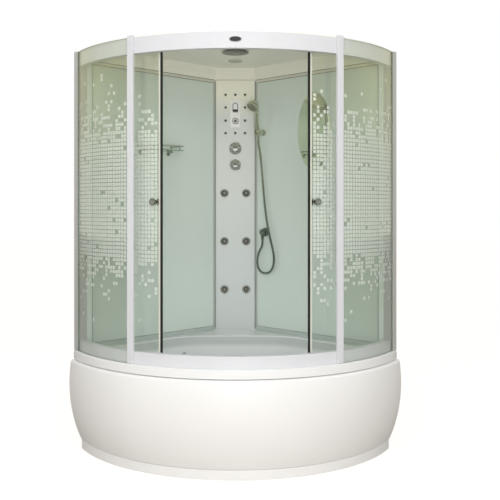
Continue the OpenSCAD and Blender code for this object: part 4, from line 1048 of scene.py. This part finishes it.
# Pipes
# Grey-white plastic pipe with ball fittings behind the column and over the roof.
pipe_plastic = mottled(
    "pipe_plastic", (0.62, 0.63, 0.63), (0.72, 0.72, 0.71), (30,), (150,), (-0.8, 2.0))
dress("pipe_set", pipe_plastic)


# Hose elbow and hand shower
# A chromed wall elbow, a bracket whose clip tilts on a cross pin, and a hand shower with
# a conical head that holds a grey spray plate.
HANDLE_OUT = -0.070
PIN_OUT = -0.043
WALL_FACE = -0.020
SPOUT_OUT = -0.028
LEAN = 6


def on_wall(along, out, z):
    """The right wall's own directions at a point: X along the wall and -Y into the cabin."""
    return Matrix.Translation(on_right_wall(along, out, z)) @ spun(-45, "Z")


INTO_CABIN = spun(90, "X")
# Both chromes are tinted olive as painted reflection: the one for the bracket, clip and hand shower lighter,
# the elbow's darker.
chrome_painted_olive = chromed("chrome_painted_olive", (0.54, 0.56, 0.45), (0.70, 0.715, 0.60))
chrome_painted_dark = chromed("chrome_painted_dark", (0.20, 0.25, 0.205), (0.29, 0.345, 0.29))
elbow = on_wall(0.287, WALL_FACE, 1.160)
flange_outline = [(0, 0), (28, 0), (28, 3), *arc(14, 3, 14, 0, 60, 10)[1:], (15.5, 16.5), (12.5, 18),
                  (0, 18)]
nipple_outline = [(4.5, -42), (8.5, -42), (8.5, -32), (9.2, -31), (9.2, -14), (8.5, -13), (8.5, 0), (0, 0)]
hex_nut = bmesh.new()
bmesh.ops.create_cone(hex_nut, cap_ends=True, segments=6, radius1=0.011, radius2=0.011, depth=0.014,
                      matrix=elbow @ moved(0, SPOUT_OUT, -0.023))


def ball(radius, place, around=32, rows=20):
    bm = bmesh.new()
    bmesh.ops.create_uvsphere(bm, u_segments=around, v_segments=rows, radius=radius, matrix=place)
    return bm


fitted(joined([turned(flange_outline, elbow @ INTO_CABIN, 56),
               turned(nipple_outline, elbow @ moved(0, SPOUT_OUT, 0), 36), hex_nut,
               ball(0.021, elbow @ moved(0, SPOUT_OUT, 0))]),
       "wall_elbow", chrome_painted_dark, "hose_elbow")

clip_place = on_wall(0.268, 0, 1.781)
bracket_arm = turned([(0, 0), (20, 0), (20, 2.8), (18.8, 4.2), (13, 6.4), (6.4, 7), (5.2, 9.5), (5, 23),
                      (0, 23)],
                     clip_place @ moved(0, WALL_FACE, 0) @ INTO_CABIN, 44)
ACROSS = spun(90, "Y")
knuckle = turned([(4.05, 0), (12.8, 0), (14, 1), (14, 11), (12.8, 12), (4.05, 12), (4.05, 0)],
                 clip_place @ moved(-0.006, PIN_OUT, 0) @ ACROSS, 40)
fitted(joined([bracket_arm, knuckle]), "bracket", chrome_painted_olive, "handset_bracket")

leaning = clip_place @ moved(0, HANDLE_OUT, 0) @ spun(LEAN, "X")
handle = turned([(4, -48), (8.6, -48), (9.4, -47.2), (10, -45.5), (10, -30), (9.4, -29.2), (10, -28.4),
                 (10, -17), (10.9, -17), (12.9, 17), (13.3, 22.5), (12.5, 40), (12.2, 60), (12.4, 85),
                 (12.9, 110), (13.2, 134), (10, 147), (0, 150)], leaning, 44)
neck = turned([(0, -4), (10, -3), (12.8, 0), (13.5, 12), (14.8, 30), (16, 42), (0, 42)],
              leaning @ moved(0, 0, 0.134) @ spun(14, "X"), 44)
head_place = leaning @ moved(0, -0.016, 0.172) @ spun(131, "X")
head = turned([(0, 27.2), (32, 27.2), (32.5, 28), (34.5, 28), (37, 25.8), *arc(25, 12, 13, 30, 0, 5),
               (36.5, 6), (33, 0), (28, -9), (22, -16), (17.5, -20.2), (12, -23), (6, -24.6), (0, -25)],
              head_place, 56)
sleeve_outline = [
    (0.0112, -0.016), (0.0165, -0.016), (0.0188, -0.013), (0.0204, -0.007), (0.0208, 0.001), (0.0200, 0.009),
    (0.0182, 0.014), (0.0165, 0.016), (0.0132, 0.016)]
clip_shapes = []
for start, end, widest in ((-72, 66, 1), (66, 114, 0.0155), (114, 252, 1)):
    profile = [spun(start, "Z") @ Vector((min(r, widest), 0, z)) for r, z in sleeve_outline]
    clip_shapes.append(put(swept(profile, 0, end - start, 24), leaning))
for x, turn in ((0.0063, 90), (-0.0063, -90)):
    fork = clip_place @ moved(x, PIN_OUT, 0) @ spun(turn, "Y")
    clip_shapes.append(turned([(0, 0), (15, 0), (15.6, 0.8), (15, 4.5), (12, 8.5), (7, 10.8), (0, 11.5)],
                              fork, 44))
    clip_shapes.append(box(0.005, 0.014, 0.018, clip_place @ moved(x * 1.4, -0.050, 0)))
clip_shapes.append(turned([(0, -6.9), (3.95, -6.9), (3.95, 6.9), (0, 6.9)],
                          clip_place @ moved(0, PIN_OUT, 0) @ ACROSS, 24))
fitted(joined(clip_shapes), "holder_clip", chrome_painted_olive, "handset_clip", body="handset")
fitted(joined([handle, neck, head]), "hand_shower", chrome_painted_olive, "handset", body="handset")
spray_rubber = even("spray_rubber", (0.27, 0.28, 0.2), (300,), (-0.8, 1.8))
face_plate = turned([(0, 27), (31.8, 27), (31.8, 27.6), (30, 28.4), (26, 28.6), (0, 28.6)], head_place, 56)


def teats(outline, rings, place, z):
    """Small nozzles turned from an outline, in rings of a radius and a count."""
    return [turned(outline, place @ moved(ring * math.cos(a), ring * math.sin(a), z), 8)
            for ring, count in rings for a in (2 * math.pi * i / count for i in range(count))]


fitted(joined([face_plate, *teats([(1, 0), (1, 1.2), (0.6, 1.6), (0, 1.6)],
                                  ((0.007, 6), (0.014, 12), (0.021, 18), (0.0265, 24)), head_place, 0.0284)]),
       "spray_plate", spray_rubber, body="handset")


# Mirror
# Silvered glass with a ground edge, cut to an oval and bonded to the right wall.
def oval(width, height, thick, bevel, place):
    """An oval plate with a ground border on its front."""
    bm = bmesh.new()
    bmesh.ops.create_circle(bm, cap_ends=True, segments=96, radius=0.5,
                            matrix=Matrix.Diagonal((width, height, 1, 1)))
    front = thicken(bm, thick)
    bmesh.ops.inset_region(bm, faces=front, thickness=bevel, depth=0)
    for vert in {v for f in front for v in f.verts}:
        vert.co.z = thick
    rim = {v for e in bm.edges for v in e.verts if v.co.z > thick / 2} - {v for f in front for v in f.verts}
    for vert in rim:
        vert.co.z = thick * 0.6
    return put(bm, place)


# The silvering is tinted olive and darkened: a painted reflection.
painted_olive_silvering = even("painted_olive_silvering", (0.72, 0.77, 0.62), (6,), (-0.2, 30.0), Metallic=1.0)
fitted(oval(0.250, 0.460, 0.004, 0.014, on_wall(0.677, WALL_FACE, 1.766) @ INTO_CABIN),
       "oval_mirror", painted_olive_silvering, "mirror", smooth=20)


# Shelf
# A clear glass shelf with green edges in chromed brackets, under a gallery rail, on the
# left wall.
SHELF_S = 0.690
SHELF_Z = 1.645
SHELF_L = 0.260
SHELF_D = 0.120


def on_wall_left(along, out, z):
    """The left wall's own directions: X away from the corner's far side, -Y into the cabin."""
    return Matrix.Translation(on_left_wall(along, out, z)) @ spun(45, "Z")


shelf = on_wall_left(SHELF_S, WALL_FACE, SHELF_Z)
bm = box(SHELF_L, SHELF_D - 0.002, 0.006)
for face in bm.faces:
    face.material_index = 0 if abs(face.normal.z) > 0.5 else 1
front_corners = [e for e in bm.edges if all(v.co.y < 0 for v in e.verts)
                 and e.verts[0].co.x == e.verts[1].co.x and e.verts[0].co.z != e.verts[1].co.z]
round_off(bm, front_corners, 0.012)
put(bm, shelf @ moved(0, -SHELF_D / 2 - 0.001, 0.003))
fitted(bm, "shelf_plate", [pane_glass, glass_edge], "shelf_glass", edge=0.0008)


def rod(start, end, radius, place):
    """A round bar with softened ends between two points of a place."""
    start, end = Vector(start), Vector(end)
    length = (end - start).length
    turn = (end - start).to_track_quat("Z", "Y").to_matrix().to_4x4()
    return turned([(0, 0), (radius * 0.9, 0), (radius, radius * 0.12), (radius, length - radius * 0.12),
                   (radius * 0.9, length), (0, length)], place @ Matrix.Translation(start) @ turn, 20, 1)


shelf_metal = []
rail_z = 0.028
BAR = 0.004
ends = SHELF_L / 2 - BAR
front_y = -SHELF_D + 0.012
for x in (-0.100, 0.100):
    shelf_metal.append(turned([(0, 0), (12, 0), (12, 4), (10.5, 6), (0, 6)],
                              shelf @ moved(x, 0, -0.013) @ INTO_CABIN, 36))
    shelf_metal.append(rounded_plate(0.012, 0.040, 0.008, 0.0035, shelf @ moved(x, -0.020, -0.008)))
    shelf_metal.append(rod((x, front_y, 0.006), (x, front_y, rail_z), BAR, shelf))
    shelf_metal.append(rod((x, front_y, 0.0055), (x, front_y, 0.009), 0.0062, shelf))
for x in (-ends, ends):
    shelf_metal.append(rod((x, 0, rail_z), (x, front_y, rail_z), BAR, shelf))
    shelf_metal.append(turned([(0, 0), (9, 0), (9, 2.8), (7.5, 4), (0, 4)],
                              shelf @ moved(x, 0, rail_z) @ INTO_CABIN, 32))
    shelf_metal.append(ball(BAR, shelf @ moved(x, front_y, rail_z), 20, 12))
shelf_metal.append(rod((-ends, front_y, rail_z), (ends, front_y, rail_z), BAR, shelf))
fitted(joined(shelf_metal), "shelf_rail", chrome, "shelf_frame")


# Roof
# A shallow acrylic dome with a collar that stands on the walls, and under it the
# overhead shower and a round lamp.
WALL_TOP = 2.120
EAVES_Z = 2.155
ROOF_Z = 2.200
ROOF_WALL = 0.005


def back_corners(inset, radius, corner_cut, z):
    """Where a line inside the walls leaves the front, passes the column and comes back to it."""
    far = WALL_FOOT + math.sqrt(radius ** 2 - (WALL_FOOT - inset) ** 2)
    near = corner_cut / HALF - inset
    return [on_left_wall(far, -inset, z), on_left_wall(near, -inset, z),
            on_right_wall(near, -inset, z), on_right_wall(far, -inset, z)]


def roof_ring(inset, radius, corner_cut, z):
    """The roof's outline at one level: front arc, wall, column and wall, as even points."""
    corners = back_corners(inset, radius, corner_cut, z)
    swing = math.degrees(math.atan2(corners[-1].x, AXIS_Y - corners[-1].y))
    front = [front_point(swing - 2 * swing * i / 96, radius, z) for i in range(96)]
    return front + [a.lerp(b, i / count) for a, b, count in zip(corners, corners[1:], (24, 12, 24))
                    for i in range(count)]


roof_rows = [shrunk(roof_ring(0.008, 0.740, 0.154, ROOF_Z), share, ROOF_Z) for share in (0.001, 0.5)]
roof_rows += [roof_ring(*level) for level in (
    (0.0095, 0.735, 0.1545, ROOF_Z), (0.0082, 0.741, 0.154, ROOF_Z - 0.0006),
    (0.0078, 0.745, 0.154, ROOF_Z - 0.002), (0.0012, 0.9485, 0.1517, EAVES_Z + 0.0062),
    (0.001, 0.9512, 0.1516, EAVES_Z + 0.0046), (0.001, 0.9525, 0.1516, EAVES_Z + 0.0025),
    (0.001, 0.9525, 0.1516, EAVES_Z + 0.0004), (0.028, 0.9145, 0.1624, EAVES_Z),
    (0.028, 0.9130, 0.1624, EAVES_Z + 0.003), (0.028, 0.742, 0.1624, ROOF_Z - 0.007),
    (0.0285, 0.735, 0.1624, ROOF_Z - ROOF_WALL))]
roof_rows += [shrunk(roof_rows[-1], share, ROOF_Z - ROOF_WALL) for share in (0.5, 0.001)]
COLLAR_END = 0.8965
roof_acrylic = mottled(
    "roof_acrylic", (0.96, 0.95, 0.86), (0.985, 0.97, 0.89), (3, 4), (6, 2), (-1.4, 2.4))
fitted(skin(roof_rows), "roof_shell", roof_acrylic, "roof", smooth=24)
collar_inside = back_corners(0.028, COLLAR_END, 0.1624, 0)
collar_line = [(p.x, p.y) for p in back_corners(0.023, COLLAR_END, 0.1604, 0) + collar_inside[::-1]]
fitted(raised(collar_line, EAVES_Z - WALL_TOP, moved(0, 0, WALL_TOP)),
       "roof_collar", roof_acrylic, edge=0.001)

shower_grey = even("shower_grey", (0.09, 0.09, 0.075), (50,), (-0.5, 3.0), Coat_Weight=0.5)
OVERHEAD_Y = -0.0275
UNDER_ROOF = 2.195
overhead = moved(0, OVERHEAD_Y, UNDER_ROOF)
rose = turned([(0, -3.5), (14, -3.5), (14, -3), (30, -8), (50, -10.8), (70, -14), (74, -15.5),
               (75, -17.5), (75, -19.8), (73.5, -21.4), (71, -22), (0, -22)], overhead, 72)
rose_flange = turned([(8.6, 0), (22, 0), (21.5, -4.5), (20, -6), (8.6, -6), (8.6, 0)], overhead, 40)
rose_teats = teats([(1.6, 0.5), (1.6, -1.2), (0.9, -2.2), (0, -2.2)],
                   ((0.014, 8), (0.028, 16), (0.042, 24), (0.056, 30)), overhead, -0.022)
fitted(joined([rose, rose_flange, *rose_teats]),
       "overhead_rose", shower_grey, "overhead_shower")

lamp_cover = mottled("lamp_cover", (0.52, 0.52, 0.44), (0.62, 0.62, 0.54), (500, 2), (400,), (-1.5, 2.0))
lamp_place = moved(0, CORNER_Y - 0.413, UNDER_ROOF)
fitted(turned([(0, 0), (42, 0), (42, -4), (40.5, -6.2), (37, -8), (34.5, -6.8), (34, -6), (26, -10),
               (16, -11.4), (0, -12)], lamp_place, 64),
       "ceiling_light", lamp_cover, "ceiling_lamp")


# Waste, overflow and bath filler
# A chromed waste with a plug that rises as the overflow's knob turns, a bottle trap and
# pipes under the tub, and a round filler spout in the bowl's wall.
dress("waste_trap", pipe_plastic)
for node in ("waste_body", "waste_plug", "waste_knob", "bath_filler"):
    dress(node, chrome)
